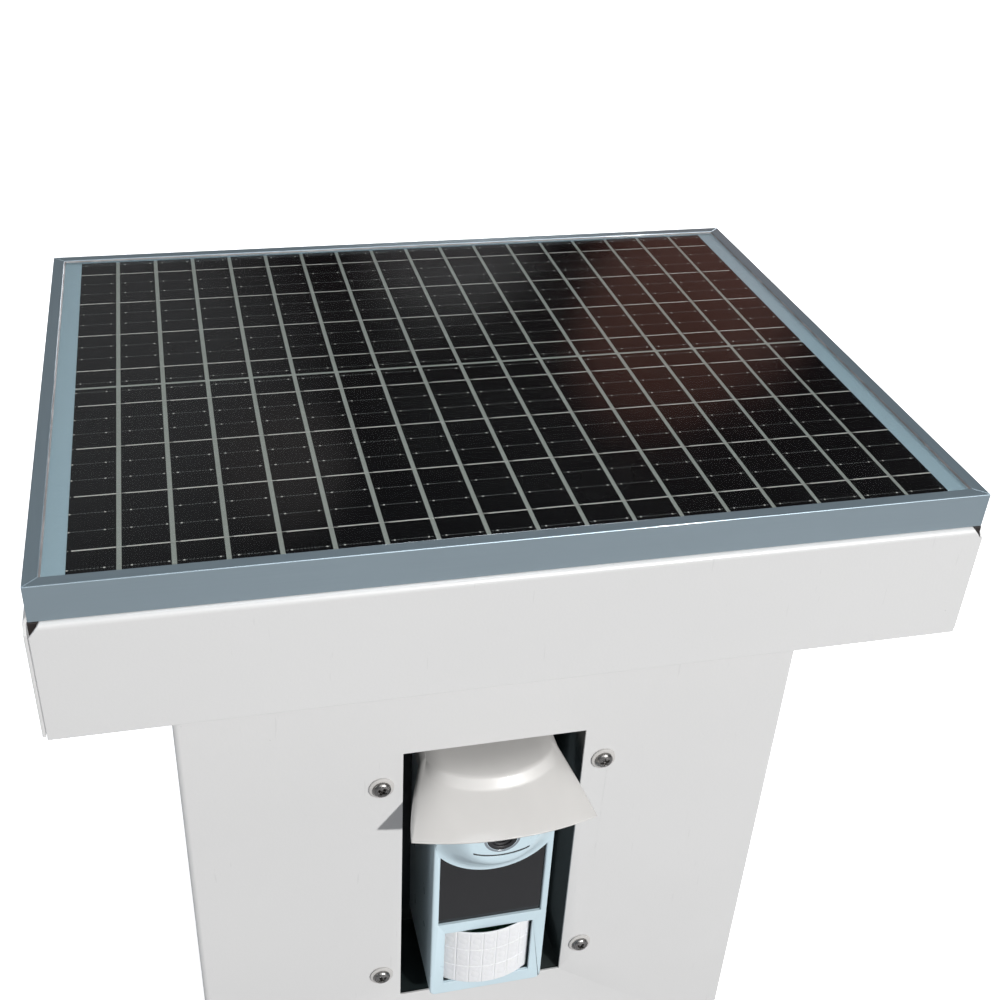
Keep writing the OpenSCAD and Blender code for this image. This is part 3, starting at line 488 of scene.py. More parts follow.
def put_sweep(bm, points, radius, sides=16):
    """A round rod that follows points, with flat ends."""
    last = len(points) - 1
    side = None
    rings = []
    for i, p in enumerate(points):
        heading = (points[min(i + 1, last)] - points[max(i - 1, 0)]).normalized()
        side = heading.orthogonal() if side is None else side - side.dot(heading) * heading
        side.normalize()
        other = heading.cross(side)
        rings.append([bm.verts.new(p + radius * (math.cos(a) * side + math.sin(a) * other))
                      for a in (2 * math.pi * k / sides for k in range(sides))])
    stitch(bm, rings)
    bm.faces.new(rings[0][::-1])
    bm.faces.new(rings[-1])


def smooth_route(points, steps=5):
    """A Catmull-Rom curve through points."""
    points = [Vector(p) for p in points]
    ends = [2 * points[0] - points[1]] + points + [2 * points[-1] - points[-2]]
    curve = []
    for a, b, c, d in zip(ends, ends[1:], ends[2:], ends[3:]):
        for k in range(steps):
            t = k / steps
            curve.append(0.5 * (2 * b + (c - a) * t + (2 * a - 5 * b + 4 * c - d) * t * t
                                + (3 * b - a - 3 * c + d) * t ** 3))
    return curve + [points[-1]]


def put_loop(bm, half, section, z):
    """A mitred rectangular frame round the centre; section is a list of (inset, rise)."""
    rings = [[bm.verts.new((sx * (half[0] - inset), sy * (half[1] - inset), z + rise))
              for inset, rise in section] for sx, sy in ((-1, -1), (1, -1), (1, 1), (-1, 1))]
    stitch(bm, rings + rings[:1])


def make_piece(name, bm, body, material, bevel=0.0, segments=2, angle=35, scale=MM):
    """Turns bm into an object that rides on body, with its edges rounded by bevel (mm)."""
    bmesh.ops.scale(bm, vec=(scale, scale, scale), verts=bm.verts)
    bmesh.ops.recalc_face_normals(bm, faces=bm.faces)
    mesh = bpy.data.meshes.new(name)
    bm.to_mesh(mesh)
    bm.free()
    mesh.shade_smooth()
    mesh.set_sharp_from_angle(angle=math.radians(angle))
    piece = bpy.data.objects.new(name, mesh)
    bpy.context.scene.collection.objects.link(piece)
    mesh.materials.append(material)
    if bevel:
        add_bevel(piece, bevel * MM, segments, angle)
    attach(piece, body)
    return piece


def stand_for(node, name, bm, material, bevel=0.0, segments=2, angle=35, scale=MM):
    """Makes a piece that stands for a CAD node, on the node's own body."""
    piece = make_piece(name, bm, BODY_OF[node], material, bevel, segments, angle, scale)
    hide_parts(node)
    return piece


def add_bevel(piece, width, segments, angle, by_weight=False):
    edge = piece.modifiers.new("edges", "BEVEL")
    edge.width = width
    edge.segments = segments
    edge.limit_method = "WEIGHT" if by_weight else "ANGLE"
    edge.angle_limit = math.radians(angle)
    edge.use_clamp_overlap = False
    edge.harden_normals = True
    edge.miter_outer = "MITER_ARC"


def soften(node, material, width=0.25, segments=2, angle=35, bold=None, share=0.2, merge=True):
    """A copy of a CAD node with rounded edges, which stands for the node.

    With bold, only the edges whose middle (in mm) it accepts get the full width, the rest a share.
    Flat triangles are merged into larger faces, unless merge is off for a face with a large hole.
    """
    bm = bmesh.new()
    bm.from_mesh(frame["nodes"][node].data)
    bmesh.ops.remove_doubles(bm, verts=bm.verts, dist=1e-6)
    if merge:
        bmesh.ops.dissolve_limit(bm, angle_limit=math.radians(0.8), verts=bm.verts, edges=bm.edges)
    if bold:
        weights = bm.edges.layers.float.new("bevel_weight_edge")
        for edge in bm.edges:
            if len(edge.link_faces) == 2 and edge.calc_face_angle() > math.radians(angle):
                middle = (edge.verts[0].co + edge.verts[1].co) / 2 / MM
                edge[weights] = 1.0 if bold(middle) else share
    piece = stand_for(node, node + "_shaped", bm, material, 0, scale=1.0)
    add_bevel(piece, width * MM, segments, angle, by_weight=bool(bold))
    return piece


def dress(node, material):
    """Gives a CAD node that stays its material."""
    slots = frame["nodes"][node].data.materials
    slots.clear()
    slots.append(material)


# ---- solar panel ----

COLUMNS = 18
CELL_LOW, CELL_HIGH = mm_box("solar_cells")
CELL_W = 20.5
PITCH = (CELL_HIGH.x - CELL_LOW.x - CELL_W) / (COLUMNS - 1)
CELL_TOP = CELL_HIGH.z
BUSBARS = 12
BUSBAR_FIRST, BUSBAR_STEP = 5.1, 14.35
SOLDERED = 3                          # every third busbar carries a ribbon, from the second on


def cell_left(column):
    return CELL_LOW.x + column * PITCH


def busbar_y(row, k):
    return row * (BUSBAR_FIRST + BUSBAR_STEP * k)


def build_cell_print():
    """The bare busbars as fine dashes, each with two solder pads on every cell."""
    bm, spots = bmesh.new(), bmesh.new()
    rng = random.Random(5)
    top = CELL_TOP + 0.02
    dash, gap, half = 0.95, 0.55, 0.1
    for row in (-1, 1):
        for column in range(COLUMNS):
            left = cell_left(column)
            shift = rng.uniform(-0.5, 0.5)
            if row < 0 and column < 2:
                shift = (-2.2, 1.5)[column]
            pads = [left + 2.7 + shift, left + 17.9 + shift]
            for k in range(BUSBARS):
                if k % SOLDERED == 1:
                    continue
                y = busbar_y(row, k)
                x = left + 0.5
                while x < left + CELL_W - 1:
                    corners = [(x, y - half), (x + dash, y - half),
                               (x + dash, y + half), (x, y + half)]
                    bm.faces.new([bm.verts.new((*c, top)) for c in corners])
                    x += dash + gap
                for pad in pads:
                    put_lathe(spots, [(0, 0.05), (0.42, 0.04), (0.52, 0)],
                              (pad, y, CELL_TOP + 0.01), (0, 0, 1), 10)
    make_piece("cell_print", bm, BODY_OF["solar_cells"], PRINT)
    make_piece("solder_pads", spots, BODY_OF["solar_cells"], SOLDER)


def put_ribbon(bm, x0, x1, y, width, height):
    """A flat wire with rounded shoulders, lying on the cells."""
    h = width / 2
    section = [(-h, 0), (-h * 0.75, height), (h * 0.75, height), (h, 0)]
    rings = [[bm.verts.new((x, y + side, CELL_TOP + 0.005 + up)) for side, up in section]
             for x in (x0, x1)]
    stitch(bm, rings)
    bm.faces.new(rings[0][::-1])
    bm.faces.new(rings[1])


def build_ribbons():
    """Soldered ribbons, bright where they are wetted to a cell and thin where they cross a gap."""
    soldered, links = bmesh.new(), bmesh.new()
    rng = random.Random(8)
    inset = 2.0
    for row in (-1, 1):
        for k in range(1, BUSBARS, SOLDERED):
            for column in range(COLUMNS):
                y = busbar_y(row, k) + rng.uniform(-0.12, 0.12)
                left = cell_left(column)
                start, end = left, left + CELL_W
                if row < 0:
                    start += inset
                else:
                    end -= inset
                put_ribbon(soldered, start, end, y, 0.85, 0.08)
                if row < 0:
                    put_ribbon(links, left + 0.2, left + 0.7, y, 0.7, 0.05)
                if column < COLUMNS - 1:
                    put_ribbon(links, end, left + PITCH + (inset if row < 0 else 0), y, 0.42, 0.05)
    stand_for("cell_ribbons", "soldered_ribbons", soldered, SOLDER)
    make_piece("ribbon_links", links, BODY_OF["cell_ribbons"], RIBBON)


def build_panel():
    for node, finish in (("panel_rail_front", FRAME_X), ("panel_rail_back", FRAME_X),
                         ("panel_rail_left", FRAME_Y), ("panel_rail_right", FRAME_Y)):
        soften(node, finish, 0.45, 4)
    glass = bmesh.new()
    put_box(glass, *mm_box("panel_glass"))
    stand_for("panel_glass", "glass_sheet", glass, GLASS, 0.2, 2)
    bead = bmesh.new()
    lip = 6.5
    half = (PANEL_HIGH.x - lip, PANEL_HIGH.y - lip)
    put_loop(bead, half, [(-0.3, 0), (0.75, 0.02), (0.6, 0.3), (0.05, 0.7), (-0.3, 0.7)],
             mm_box("panel_glass")[1].z)
    make_piece("glazing_bead", bead, BODY_OF["panel_glass"], SEALANT)
    build_cell_print()
    build_ribbons()


# ---- screws ----

def build_screws(node, spots, axis, head_r, head_h, shank_r, length, material, turns=None):
    """Pan head screws, which stand for a CAD node; spots are the undersides of their heads."""
    bm = bmesh.new()
    for i, spot in enumerate(spots):
        put_pan_head(bm, spot, axis, head_r, head_h, turns[i] if turns else 0.6 * i)
        thread = []
        pitch = 0.8
        for k in range(int(length / pitch)):
            thread += [(shank_r, -k * pitch), (shank_r - 0.35, -(k + 0.5) * pitch)]
        put_lathe(bm, thread + [(shank_r - 0.5, -length), (0, -length)], spot, axis, 20)
    stand_for(node, node + "_cut", bm, material)


def build_front_fixings():
    low, high = mm_box("front_washers")
    rim = 7.1
    spots = [(x, low.y, z) for x in (low.x + rim, high.x - rim) for z in (low.z + rim, high.z - rim)]
    build_screws("front_screws", spots, (0, -1, 0), 5, 3, 2.5, 14, STEEL, (0.5, 0.95, -0.5, 0.3))
    bm = bmesh.new()
    for spot in spots:
        put_lathe(bm, [(2.6, -1.2), (6.9, -1.2), (7.1, -1.0), (7.0, -0.3), (6.5, 0), (2.6, 0),
                       (2.6, -1.2)], spot, (0, -1, 0), 56)
    stand_for("front_washers", "sealing_washers", bm, NYLON)


# ---- motion detector ----

HOOD_TOP = mm_box("detector_hood")[1].z
CAP_HALF, CAP_BOW, CAP_NOSE = 36.0, 22.0, 2.0
RIM_HALF, RIM_BOW, VISOR_DROP = 52.0, 8.0, 19.5
FOLD_AT, FOLD_DIP = 0.14, 2.7
NOSE_FROM = 0.75
BRIM_W, ROLL_FROM, ROLL_DROP = 4.5, 0.75, 8.0


def soft_peak(t):
    """Rises to 1 at FOLD_AT and falls back to 0 at 1, with a rounded top."""
    rising, falling, rounding = t / FOLD_AT, (1 - t) / (1 - FOLD_AT), 0.06
    return max(0, (rising + falling) / 2 - math.hypot((rising - falling) / 2, rounding) + rounding / 2)


def hood_point(u, v):
    """The hood's outer surface: u runs across, v from the rear (0) over the crease (1) to the rim (2).

    Beyond u = -1 and u = 1 lie the brims; the skin rolls down towards them like a quarter ellipse.
    """
    out = max(0, abs(u) - 1)
    side = math.copysign(1, u)
    u = max(-1, min(1, u))
    arch = math.sqrt(max(0, 1 - u * u))
    crease = Vector((CAP_HALF * u, -107 - CAP_BOW * arch, HOOD_TOP - CAP_NOSE * arch))
    if v <= 1:
        nose = CAP_NOSE * arch * (max(0, v - NOSE_FROM) / (1 - NOSE_FROM)) ** 2
        point = Vector((CAP_HALF * u, -68 * (1 - v) + crease.y * v, HOOD_TOP - nose))
        fade = 1.0
    else:
        t = v - 1
        rim = Vector((RIM_HALF * u, -150 - RIM_BOW * (1 - u * u), HOOD_TOP - VISOR_DROP - abs(u)))
        point = crease.lerp(rim, t)
        point.z -= FOLD_DIP * arch * soft_peak(t)
        fade = 1 - t ** 3
    roll = (max(0, abs(u) - ROLL_FROM) * CAP_HALF + BRIM_W * out) / ((1 - ROLL_FROM) * CAP_HALF + BRIM_W)
    point.z -= fade * ROLL_DROP * (1 - math.sqrt(1 - 0.97 * roll * roll))
    point.x += fade * side * BRIM_W * out
    return point


def build_hood():
    """The flared hood, a fine grid over the CAD's own curves, with its side cheeks."""
    middle = [math.sin(math.pi / 2 * k / 40) for k in range(-40, 41)]
    brim = [1 + k / 10 for k in range(1, 11)]
    us = [-u for u in brim[::-1]] + middle + brim
    vs = [0, 0.3, 0.6, 0.75, 0.85, 0.92, 0.96, 1] + [1 + 0.02 * k for k in range(1, 14)] + \
         [1.26 + 0.074 * k for k in range(1, 11)]
    bm = bmesh.new()
    outer = [[bm.verts.new(hood_point(u, v)) for u in us] for v in vs]
    thick = 2.0
    inner = []
    for v in vs:
        lean = Vector((0, 0.25 * v, -1)) if v <= 1 else Vector((0, 0.53, -0.85))
        inner.append([bm.verts.new(hood_point(u, v) + thick * lean) for u in us])
    close_sheet(bm, outer, inner)
    cheek = mm_box("detector_cover")[1].x + 0.2
    for s in (-1, 1):
        low, high = sorted((s * cheek, s * (cheek + 1.5)))
        put_box(bm, (low, -107, HOOD_TOP - 12), (high, -70, HOOD_TOP - 4.5))
    stand_for("detector_hood", "flared_hood", bm, HOOD, 0.4, 3, 55)


def build_camera():
    """Stepped black barrel, a sealing ring, a domed front element and a black rod in the slot below, which is
    painted shadow.
    """
    low, high = mm_box("camera_barrel")
    x, z = (low.x + high.x) / 2, (low.z + high.z) / 2
    front = (x, low.y, z)
    back = high.y - low.y
    bm = bmesh.new()
    put_lathe(bm, [(0, 5.4), (3.0, 5.4), (3.0, 4.6), (3.9, 4.2), (4.0, 3.4), (4.9, 3.0), (5.0, 2.0),
                   (6.0, 1.5), (6.1, 0.5), (6.6, 0.1), (8.3, 0), (8.65, 0.3), (8.7, 1.2), (8.7, back),
                   (0, back)], front, (0, 1, 0), 72)
    stand_for("camera_barrel", "lens_barrel", bm, BLACK, angle=40)
    bm = bmesh.new()
    dome = [(5.2 * math.sin(a), 1.9 + 2.0 * (1 - math.cos(a)) / (1 - math.cos(1.1)))
            for a in (1.1 * k / 10 for k in range(11))]
    dome = [(r / math.sin(1.1) * 0.93, along) for r, along in dome]
    put_lathe(bm, dome + [(4.84, 4.4), (0, 4.4)], front, (0, 1, 0), 64)
    stand_for("camera_lens", "front_element", bm, LENS, angle=40)
    bm = bmesh.new()
    bend = 37.8                       # radius of the slot under the lens
    # A black rod laid along the slot under the lens: painted shadow inside the slot.
    put_sweep(bm, [Vector((bend * math.sin(a), low.y + 1.6, z - 13.3 + bend * (1 - math.cos(a))))
                   for a in (math.radians(24.5) * k / 20 for k in range(-20, 21))], 0.8, 12)
    make_piece("slot_painted_shadow", bm, BODY_OF["camera_barrel"], BLACK)
    bm = bmesh.new()
    put_lathe(bm, [(8.75, 0.9), (9.3, 0.45), (10.4, 0.45), (10.7, 0.9), (8.75, 0.9)], front, (0, 1, 0), 72)
    make_piece("lens_trim_ring", bm, BODY_OF["camera_lens"], TRIM)


def build_fresnel():
    """The curved infrared lens, moulded as rows of small ringed zones."""
    low, high = mm_box("detector_pir_lens")
    radius = 48.0
    centre_y = low.y + radius
    half = math.asin(high.x / radius)
    columns, rows, across_n, up_n = 7, 3, 126, 96
    bm = bmesh.new()
    outer, inner = [], []
    for j in range(up_n + 1):
        z = low.z + (high.z - low.z) * j / up_n
        outer.append([])
        inner.append([])
        for i in range(across_n + 1):
            a = half * (2 * i / across_n - 1)
            fx = (i / across_n * columns) % 1 - 0.5
            fz = (j / up_n * rows) % 1 - 0.5
            cell_w, cell_h = 2 * half * radius / columns, (high.z - low.z) / rows
            r = math.hypot(fx * cell_w, fz * cell_h)
            depth = 0.22 * ((r * r / 9) % 1)
            if max(abs(fx), abs(fz)) > 0.47:
                depth = 0.4
            for rim, sheet in ((radius - depth, outer), (radius - 1, inner)):
                sheet[-1].append(bm.verts.new((rim * math.sin(a), centre_y - rim * math.cos(a), z)))
    close_sheet(bm, outer, inner)
    stand_for("detector_pir_lens", "fresnel_lens", bm, MILKY, angle=25)


def build_detector():
    low, high = mm_box("detector_cover")
    face = low.y + 14                 # the cover's flat front, behind the chin

    def outline(p):
        return abs(p.x) > high.x - 4.5 or p.z < low.z + 4.5
    soften("detector_cover", SHELL, 1.1, 3, 40, bold=lambda p: outline(p) and p.y < face + 0.5)
    soften("detector_base", SHELL, 0.3, 2)
    build_hood()
    build_camera()
    build_fresnel()


# ---- wiring ----

CASE_BOTTOM = mm_box("controller_case")[0].z
COVER_LEFT = mm_box("energizer_cover")[0].x
POST_TOP = mm_box("battery_terminals")[1].z
POST_Y = (mm_box("battery_case")[0].y + mm_box("battery_case")[1].y) / 2
STUDS = ((50, 238), (110, 238))       # the energizer's output studs, x and z
OUTLETS = (280, 330)                  # heights of the earth and fence terminals
ROUTES = {
    "detector_lead": [(2.5, [(0, -64, 150), (0, -54, 150), (-4, -46, 151), (-10, -34, 157),
                             (-18, -22, 170), (-28, -14, 190), (-38, -14, 215), (-44, -20, 242),
                             (-46, -26, 268), (-46, -27, 290), (-46, -27, CASE_BOTTOM)])],
    "panel_lead": [(3, [(0, 80, PANEL_LOW.z + 0.7), (0, 80, 450), (0, 78, 436), (0, 70, 420),
                        (0, 56, 408), (0, 38, 398), (0, 20, 388), (0, 4, 374), (0, -6, 356),
                        (0, -10, 336), (0, -13, 316), (-2, -17, 298), (-8, -22, 284),
                        (-17, -26, 279), (-25, -27, 283), (-28, -27, 292), (-28, -27, CASE_BOTTOM)])],
    "positive_wiring": [(2, [(-75, POST_Y, POST_TOP), (-75, POST_Y, 200), (-78, 28, 216),
                             (-86, 12, 234), (-98, -6, 252), (-108, -20, 272), (-110, -27, 286),
                             (-110, -27, CASE_BOTTOM)]),
                        (2, [(-68, -27, CASE_BOTTOM), (-68, -27, 288), (-62, -24, 276),
                             (-46, -10, 266), (-26, -2, 262), (-8, -4, 262), (4, -9, 266),
                             (10, -12, 270), (COVER_LEFT + 1, -12, 270)])],
    "negative_wiring": [(2, [(75, POST_Y, POST_TOP), (75, POST_Y, 198), (66, 34, 206), (46, 33, 212),
                             (16, 32, 216), (-16, 28, 222), (-46, 20, 232), (-70, 6, 246),
                             (-84, -10, 262), (-90, -22, 276), (-90, -27, 288),
                             (-90, -27, CASE_BOTTOM)]),
                        (2, [(-56, -34, CASE_BOTTOM), (-56, -34, 286), (-50, -32, 270),
                             (-36, -28, 256), (-18, -22, 249), (-2, -16, 250), (8, -12, 254),
                             (COVER_LEFT + 1, -12, 255)])],
}


def build_wiring():
    """Each lead as a smooth round sheath along the route it is tied to, with strap ties."""
    sheaths = {"detector_lead": RUBBER, "panel_lead": RUBBER, "positive_wiring": RED_SHEATH,
               "negative_wiring": RUBBER}
    ties = bmesh.new()
    for node, leads in ROUTES.items():
        bm = bmesh.new()
        for radius, points in leads:
            curve = smooth_route(points)
            put_sweep(bm, curve, radius)
            for share in (0.35, 0.7):
                i = int(share * len(curve))
                along = curve[i + 1] - curve[i - 1]
                put_ring(ties, radius, radius + 0.7, -1.2, 1.2, curve[i], along, 24)
        stand_for(node, node + "_sheath", bm, sheaths[node])
    make_piece("wire_ties", ties, "cabinet", NYLON)
    bm = bmesh.new()
    face = mm_box("energizer_cover")[1].y
    for k in range(2):
        x, z = STUDS[1 - k]
        start = face + 5.7
        put_sweep(bm, smooth_route([(x, start, z - 3), (x, start, z - 7), (x + 2, start, z - 13),
                                    (x + 8, start + 4 + 6 * k, z - 20), (x + 22, 36 + 6 * k, z - 22),
                                    (150 - 4 * k, 48, z - 14 + 14 * k), (154, 56, OUTLETS[k] - 30),
                                    (154, 60, OUTLETS[k] - 18), (154, 60, OUTLETS[k] - 3)]), 2.5)
    stand_for("output_leads", "output_leads_sheath", bm, RED_SHEATH)


# ---- equipment behind the door ----

def build_energizer():
    low, high = mm_box("energizer_cover")
    face = high.y
    soften("energizer_cover", COVER, 1.6, 3, bold=lambda p: p.y > face - 1)
    soften("energizer_base", GRAPHITE, 0.3)
    bm = bmesh.new()
    for k in range(7):
        z = low.z + 42 + 5 * k
        put_box(bm, (low.x + 14, face - 0.2, z), (low.x + 52, face + 0.9, z + 2.2))
    make_piece("cover_ribs", bm, "cabinet", COVER, 0.4)
    bm = bmesh.new()
    for x in (low.x + 7, high.x - 7):
        for z in (low.z + 7, high.z - 7):
            put_pan_head(bm, (x, face - 0.05, z), (0, 1, 0), 3.2, 1.9, x + z)
    make_piece("cover_screws", bm, "cabinet", ZINC)
    knob_low, knob_high = mm_box("power_knob")
    x, z = (knob_low.x + knob_high.x) / 2, (knob_low.z + knob_high.z) / 2
    bm = bmesh.new()
    dial_r = 17
    for k in range(11):
        a = math.radians(225 - 27 * k)
        size = 0.7 + 0.06 * k
        put_lathe(bm, [(0, 0.25), (size, 0.2), (size + 0.1, 0)],
                  (x + dial_r * math.cos(a), face - 0.02, z + dial_r * math.sin(a)), (0, 1, 0), 16)
    put_box(bm, (low.x + 60, face - 0.1, low.z + 60), (high.x - 10, face + 0.25, low.z + 80))
    make_piece("dial_scale", bm, "cabinet", NYLON)
    bm = bmesh.new()
    for k in range(3):
        put_lathe(bm, [(3.0, 0), (3.0, 0.6), (2.3, 1.0), (2.2, 0.4), (1.9, 1.4), (1.2, 2.0), (0, 2.3)],
                  (low.x + 68 + 12 * k, face - 0.05, low.z + 92), (0, 1, 0), 24)
    make_piece("pulse_lamps", bm, "cabinet", ORANGE)
    soften("power_knob", BLACK, 0.35)
    soften("switch_housing", BLACK, 0.4)
    soften("rocker_paddle", RED, 0.5, 3)
    bm = bmesh.new()
    for x, z in STUDS:
        put_hexagon(bm, (x, face + 3, z), (0, 1, 0), 10, 4.5, 3.05)
        put_hexagon(bm, (x, face + 8.4, z), (0, 1, 0), 10, 4.5, 3.05)
    make_piece("terminal_nuts", bm, "cabinet", BRASS)


def build_controller():
    low, high = mm_box("controller_case")
    face = high.y
    soften("controller_case", CONTROLLER, 0.5, bold=lambda p: p.y > face - 1, share=0.5)
    bm = bmesh.new()
    for k in range(6):
        x = low.x + 14.5 + 20 * k
        put_pan_head(bm, (x, face - 6.5, low.z + 5.5), (0, 1, 0), 3.2, 2.2, 0.4 * k)
    for x in (low.x + 6, high.x - 6):
        put_pan_head(bm, (x, face - 0.05, high.z - 6), (0, 1, 0), 2.8, 1.7, x)
    make_piece("controller_screws", bm, "cabinet", ZINC)
    screen_low, screen_high = mm_box("controller_display")
    bm = bmesh.new()
    for k in range(5):
        x = screen_low.x + 8 + 8 * k
        put_box(bm, (x, face + 0.25, screen_low.z + 9), (x + 5.5, face + 0.42, screen_low.z + 21))
    put_box(bm, (screen_low.x + 5, face + 0.25, screen_low.z + 5.5),
            (screen_high.x - 5, face + 0.4, screen_low.z + 6.5))
    make_piece("charge_bars", bm, "cabinet", BLACK)
    soften("controller_button", ORANGE, 0.5, 3)


def build_battery():
    low, high = mm_box("battery_case")
    soften("battery_case", GRAPHITE, 1.4, 3)
    bm = bmesh.new()
    put_box(bm, (low.x + 26, low.y + 14, high.z - 0.2), (-14, high.y - 14, high.z + 0.8))
    put_box(bm, (14, low.y + 14, high.z - 0.2), (high.x - 26, high.y - 14, high.z + 0.8))
    make_piece("battery_vent_covers", bm, "cabinet", GRAPHITE, 0.6)
    bm = bmesh.new()
    for x in (-75, 75):
        put_ring(bm, 3.1, 6.5, 0, 1.2, (x, POST_Y, POST_TOP - 3), (0, 0, 1), 32)
        put_hexagon(bm, (x, POST_Y, POST_TOP - 1.8), (0, 0, 1), 9, 3.6, 2.1)
    make_piece("battery_lugs", bm, "cabinet", BRASS)
    soften("battery_strap", ZINC, 0.3)


# ---- output terminals and rear door ----

def build_terminals():
    """Clamp knobs with a brass insert, over the insulators."""
    for node, finish in (("fence_knob", RED), ("earth_knob", GREEN)):
        soften(node, finish, 0.4, 3)
        low, high = mm_box(node)
        y, z = (low.y + high.y) / 2, (low.z + high.z) / 2
        bm = bmesh.new()
        put_lathe(bm, [(0, -1.0), (2.2, -1.0), (2.4, 0.0), (4.4, 0.0), (4.6, -0.6), (6.6, -0.6),
                       (6.9, 0), (7.4, 0), (7.4, -2.5), (0, -2.5)], (high.x, y, z), (1, 0, 0), 48)
        make_piece(node + "_insert", bm, BODY_OF[node], BRASS, angle=30)
    soften("terminal_insulators", BLACK, 0.5, 2)
    soften("terminal_studs", ZINC, 0.3)


def build_door():
    low, high = mm_box("rear_door")
    rear = high.y
    soften("rear_door", WHITE, 1.4, 4, bold=lambda p: p.y > rear - 0.3 or
           (p.y > low.y + 1 and min(abs(abs(p.x) - high.x), abs(p.z - low.z), abs(p.z - high.z)) < 0.2))
    soften("hinge_frame_leaves", ZINC, 0.3)
    soften("hinge_door_leaves", ZINC, 0.3)
    soften("lock_housing", CHROME, 0.5, 3)
    soften("lock_cam", CHROME, 0.3)
    leaf_low, leaf_high = mm_box("hinge_door_leaves")
    bm = bmesh.new()
    for z in (127.5, 327.5):
        for x in (leaf_low.x + 14, leaf_high.x - 5):
            put_pan_head(bm, (x, rear + 1.4, z), (0, 1, 0), 3.2, 1.3, x)
    make_piece("hinge_screws", bm, BODY_OF["rear_door"], ZINC)


def build_corner_blocks():
    """Very dark brown blocks behind the notches at the lid's two front corners, which fill the dark gaps
    there.
    """
    low, high = mm_box("rain_lid")
    bm = bmesh.new()
    for s in (-1, 1):
        x0, x1 = sorted((s * (high.x - 2.2), s * (high.x - 12)))
        put_box(bm, (x0, low.y + 2.6, high.z - 16), (x1, low.y + 5, high.z - 0.3))
    make_piece("corner_notch_blocks", bm, "cabinet", BROWN, 0.6)


def build_cabinet():
    soften("body_shell", WHITE, 0.35, 2)
    soften("rain_lid", WHITE, 0.35, 2)
    soften("recess_box", TEAL, 0.25, 2, merge=False)
    soften("base_plate", WHITE, 0.3)
    soften("equipment_plate", ZINC, 0.3)
    soften("rubber_feet", RUBBER, 1.0, 3)
    soften("detector_window", PIANO, 0.2)
    build_corner_blocks()


# ---- build ----

WHITE = powder_coat("white_powder_coat", rgb(0.605, 0.605, 0.602))
FRAME_X = anodised("anodised_along_x", rgb(0.24, 0.305, 0.345), 0)
FRAME_Y = anodised("anodised_along_y", rgb(0.24, 0.305, 0.345), 1)
TEAL = powder_coat("recess_paint", rgb(0.0025, 0.006, 0.0063), 0.5)
SHELL = moulded("detector_shell", rgb(0.55, 0.68, 0.74), 0.32, 0.08, 0.3)
HOOD = moulded("hood_shell", rgb(0.62, 0.61, 0.595), 0.38, 0.04, 0.22)
TRIM = moulded("grey_trim", rgb(0.20, 0.23, 0.26), 0.3, 0.05, 0.2)
BLACK = moulded("black_moulding", rgb(0.012, 0.012, 0.014), 0.45)
PIANO = moulded("dark_window", rgb(0.003, 0.003, 0.004), 0.12, 0.0, 0.2)
MILKY = moulded("milky_lens", rgb(0.80, 0.81, 0.82), 0.35, 0.05, 0.2, 0.5)
RUBBER = rubbery("black_rubber", rgb(0.015, 0.015, 0.016))
# Very dark brown for the blocks that fill the lid's corner notches.
BROWN = rubbery("corner_notch_dark", rgb(0.006, 0.003, 0.0025), 0.6)
SEALANT = rubbery("glazing_sealant", rgb(0.16, 0.15, 0.15), 0.5)
RED_SHEATH = rubbery("red_sheath", rgb(0.38, 0.02, 0.015), 0.5)
ZINC = bare_metal("zinc_plate", rgb(0.62, 0.62, 0.60), 0.36)
STEEL = bare_metal("stainless", rgb(0.30, 0.29, 0.28), 0.24, 0.7, 0.06)
CHROME = bare_metal("chrome_plate", rgb(0.78, 0.78, 0.80), 0.15, 0.95, 0.03)
BRASS = bare_metal("brass", rgb(0.72, 0.50, 0.20), 0.28)
MILL = bare_metal("mill_aluminium", rgb(0.72, 0.73, 0.74), 0.4)
NYLON = moulded("white_nylon", rgb(0.50, 0.49, 0.475), 0.5, 0.1)
BOARD = moulded("solder_resist", rgb(0.01, 0.12, 0.05), 0.3, 0.1, 0.4)
COVER = moulded("green_cover", rgb(0.09, 0.22, 0.06), 0.38, 0.25)
GRAPHITE = moulded("graphite_moulding", rgb(0.035, 0.036, 0.04), 0.5, 0.3)
RED = moulded("red_moulding", rgb(0.48, 0.02, 0.02), 0.3, 0.08, 0.2)
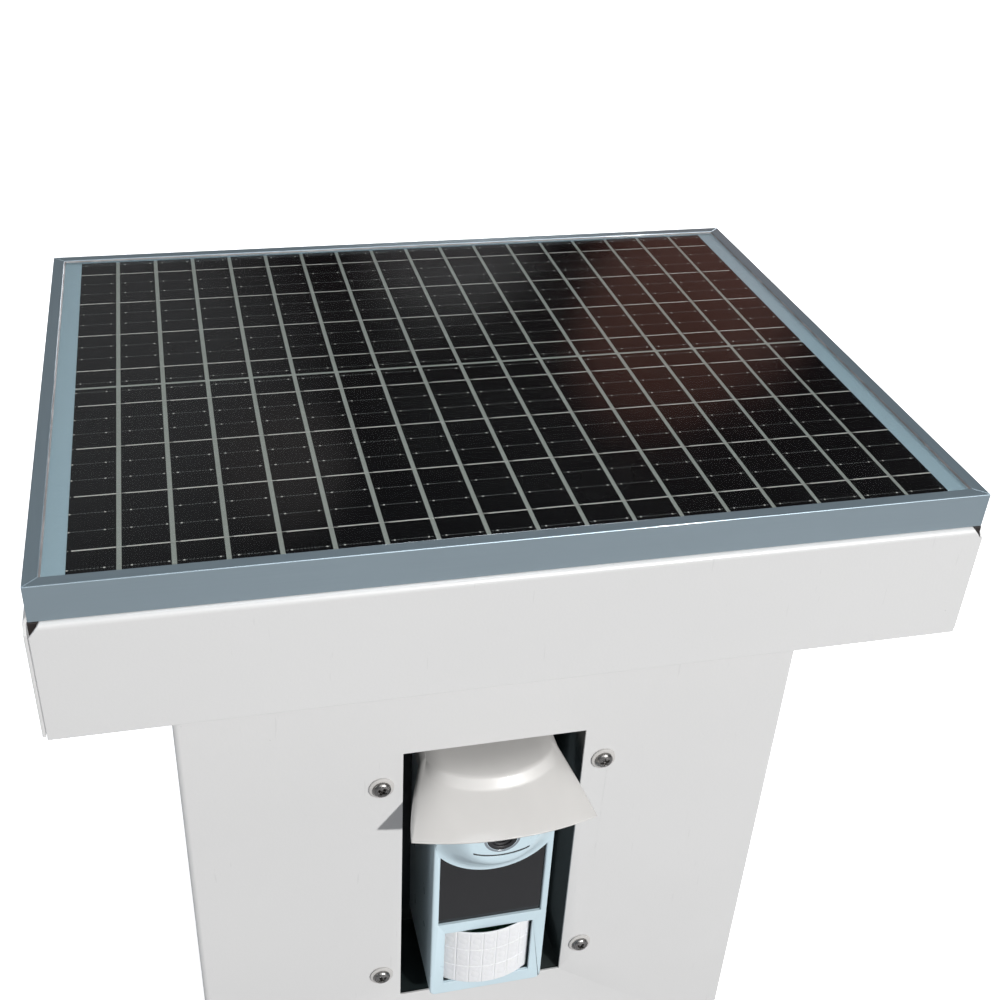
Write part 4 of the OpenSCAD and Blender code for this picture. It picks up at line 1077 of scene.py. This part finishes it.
GREEN = moulded("green_moulding", rgb(0.02, 0.24, 0.07), 0.3, 0.08, 0.2)
CONTROLLER = moulded("controller_moulding", rgb(0.05, 0.08, 0.13), 0.5, 0.3)
SCREEN = moulded("screen", rgb(0.25, 0.31, 0.22), 0.15, 0.0, 0.8)
ORANGE = moulded("orange_moulding", rgb(0.75, 0.22, 0.02), 0.35, 0.1)
CORE = bare_metal("laminated_core", rgb(0.16, 0.13, 0.11), 0.5, 0.6)
SLEEVE = moulded("blue_sleeve", rgb(0.01, 0.03, 0.20), 0.3, 0.05, 0.3)
# The margin colour is painted shade and painted sky reflection on a white sheet.
SHEET = backing(rgb(0.32, 0.42, 0.49), rgb(0.29, 0.30, 0.28), CELL_HIGH.x * MM, CELL_HIGH.y * MM)
RIBBON = bare_metal("tinned_ribbon", rgb(0.45, 0.43, 0.41), 0.45)
SOLDER = moulded("wetted_solder", rgb(0.42, 0.40, 0.38), 0.5, 0.3)
PRINT = moulded("silver_print", rgb(0.22, 0.22, 0.22), 0.6, 0.0)
SILICON = silicon(PITCH / 15 * MM)
GLASS = tempered_glass()
LENS = moulded("coated_lens", rgb(0.01, 0.012, 0.018), 0.05, 0.0, 1.0)

for node, finish in {
    "energizer_board": BOARD, "pulse_transformer": CORE, "storage_capacitors": SLEEVE,
    "energizer_terminals": BRASS, "controller_display": SCREEN, "battery_terminals": ZINC,
    "panel_corner_keys": MILL, "solar_cells": SILICON, "panel_backsheet": SHEET,
    "junction_box": BLACK, "lid_gasket": RUBBER, "lid_grommet": RUBBER, "door_gasket": RUBBER,
    "m5_bolts": ZINC, "m5_nuts": ZINC, "detector_board": BOARD,
}.items():
    dress(node, finish)

aim_camera()
key = light_studio()
lay_floor()
build_panel()
build_cabinet()
build_front_fixings()
build_detector()
build_energizer()
build_controller()
build_battery()
build_terminals()
build_door()
build_wiring()

lid_base = mm_box("rain_lid")[0].z
spare(key, [p for p in bpy.context.scene.objects if p.type == "MESH" and p.name != "floor"
            and min((v.co.z for v in p.data.vertices), default=0) > (lid_base - 1) * MM])
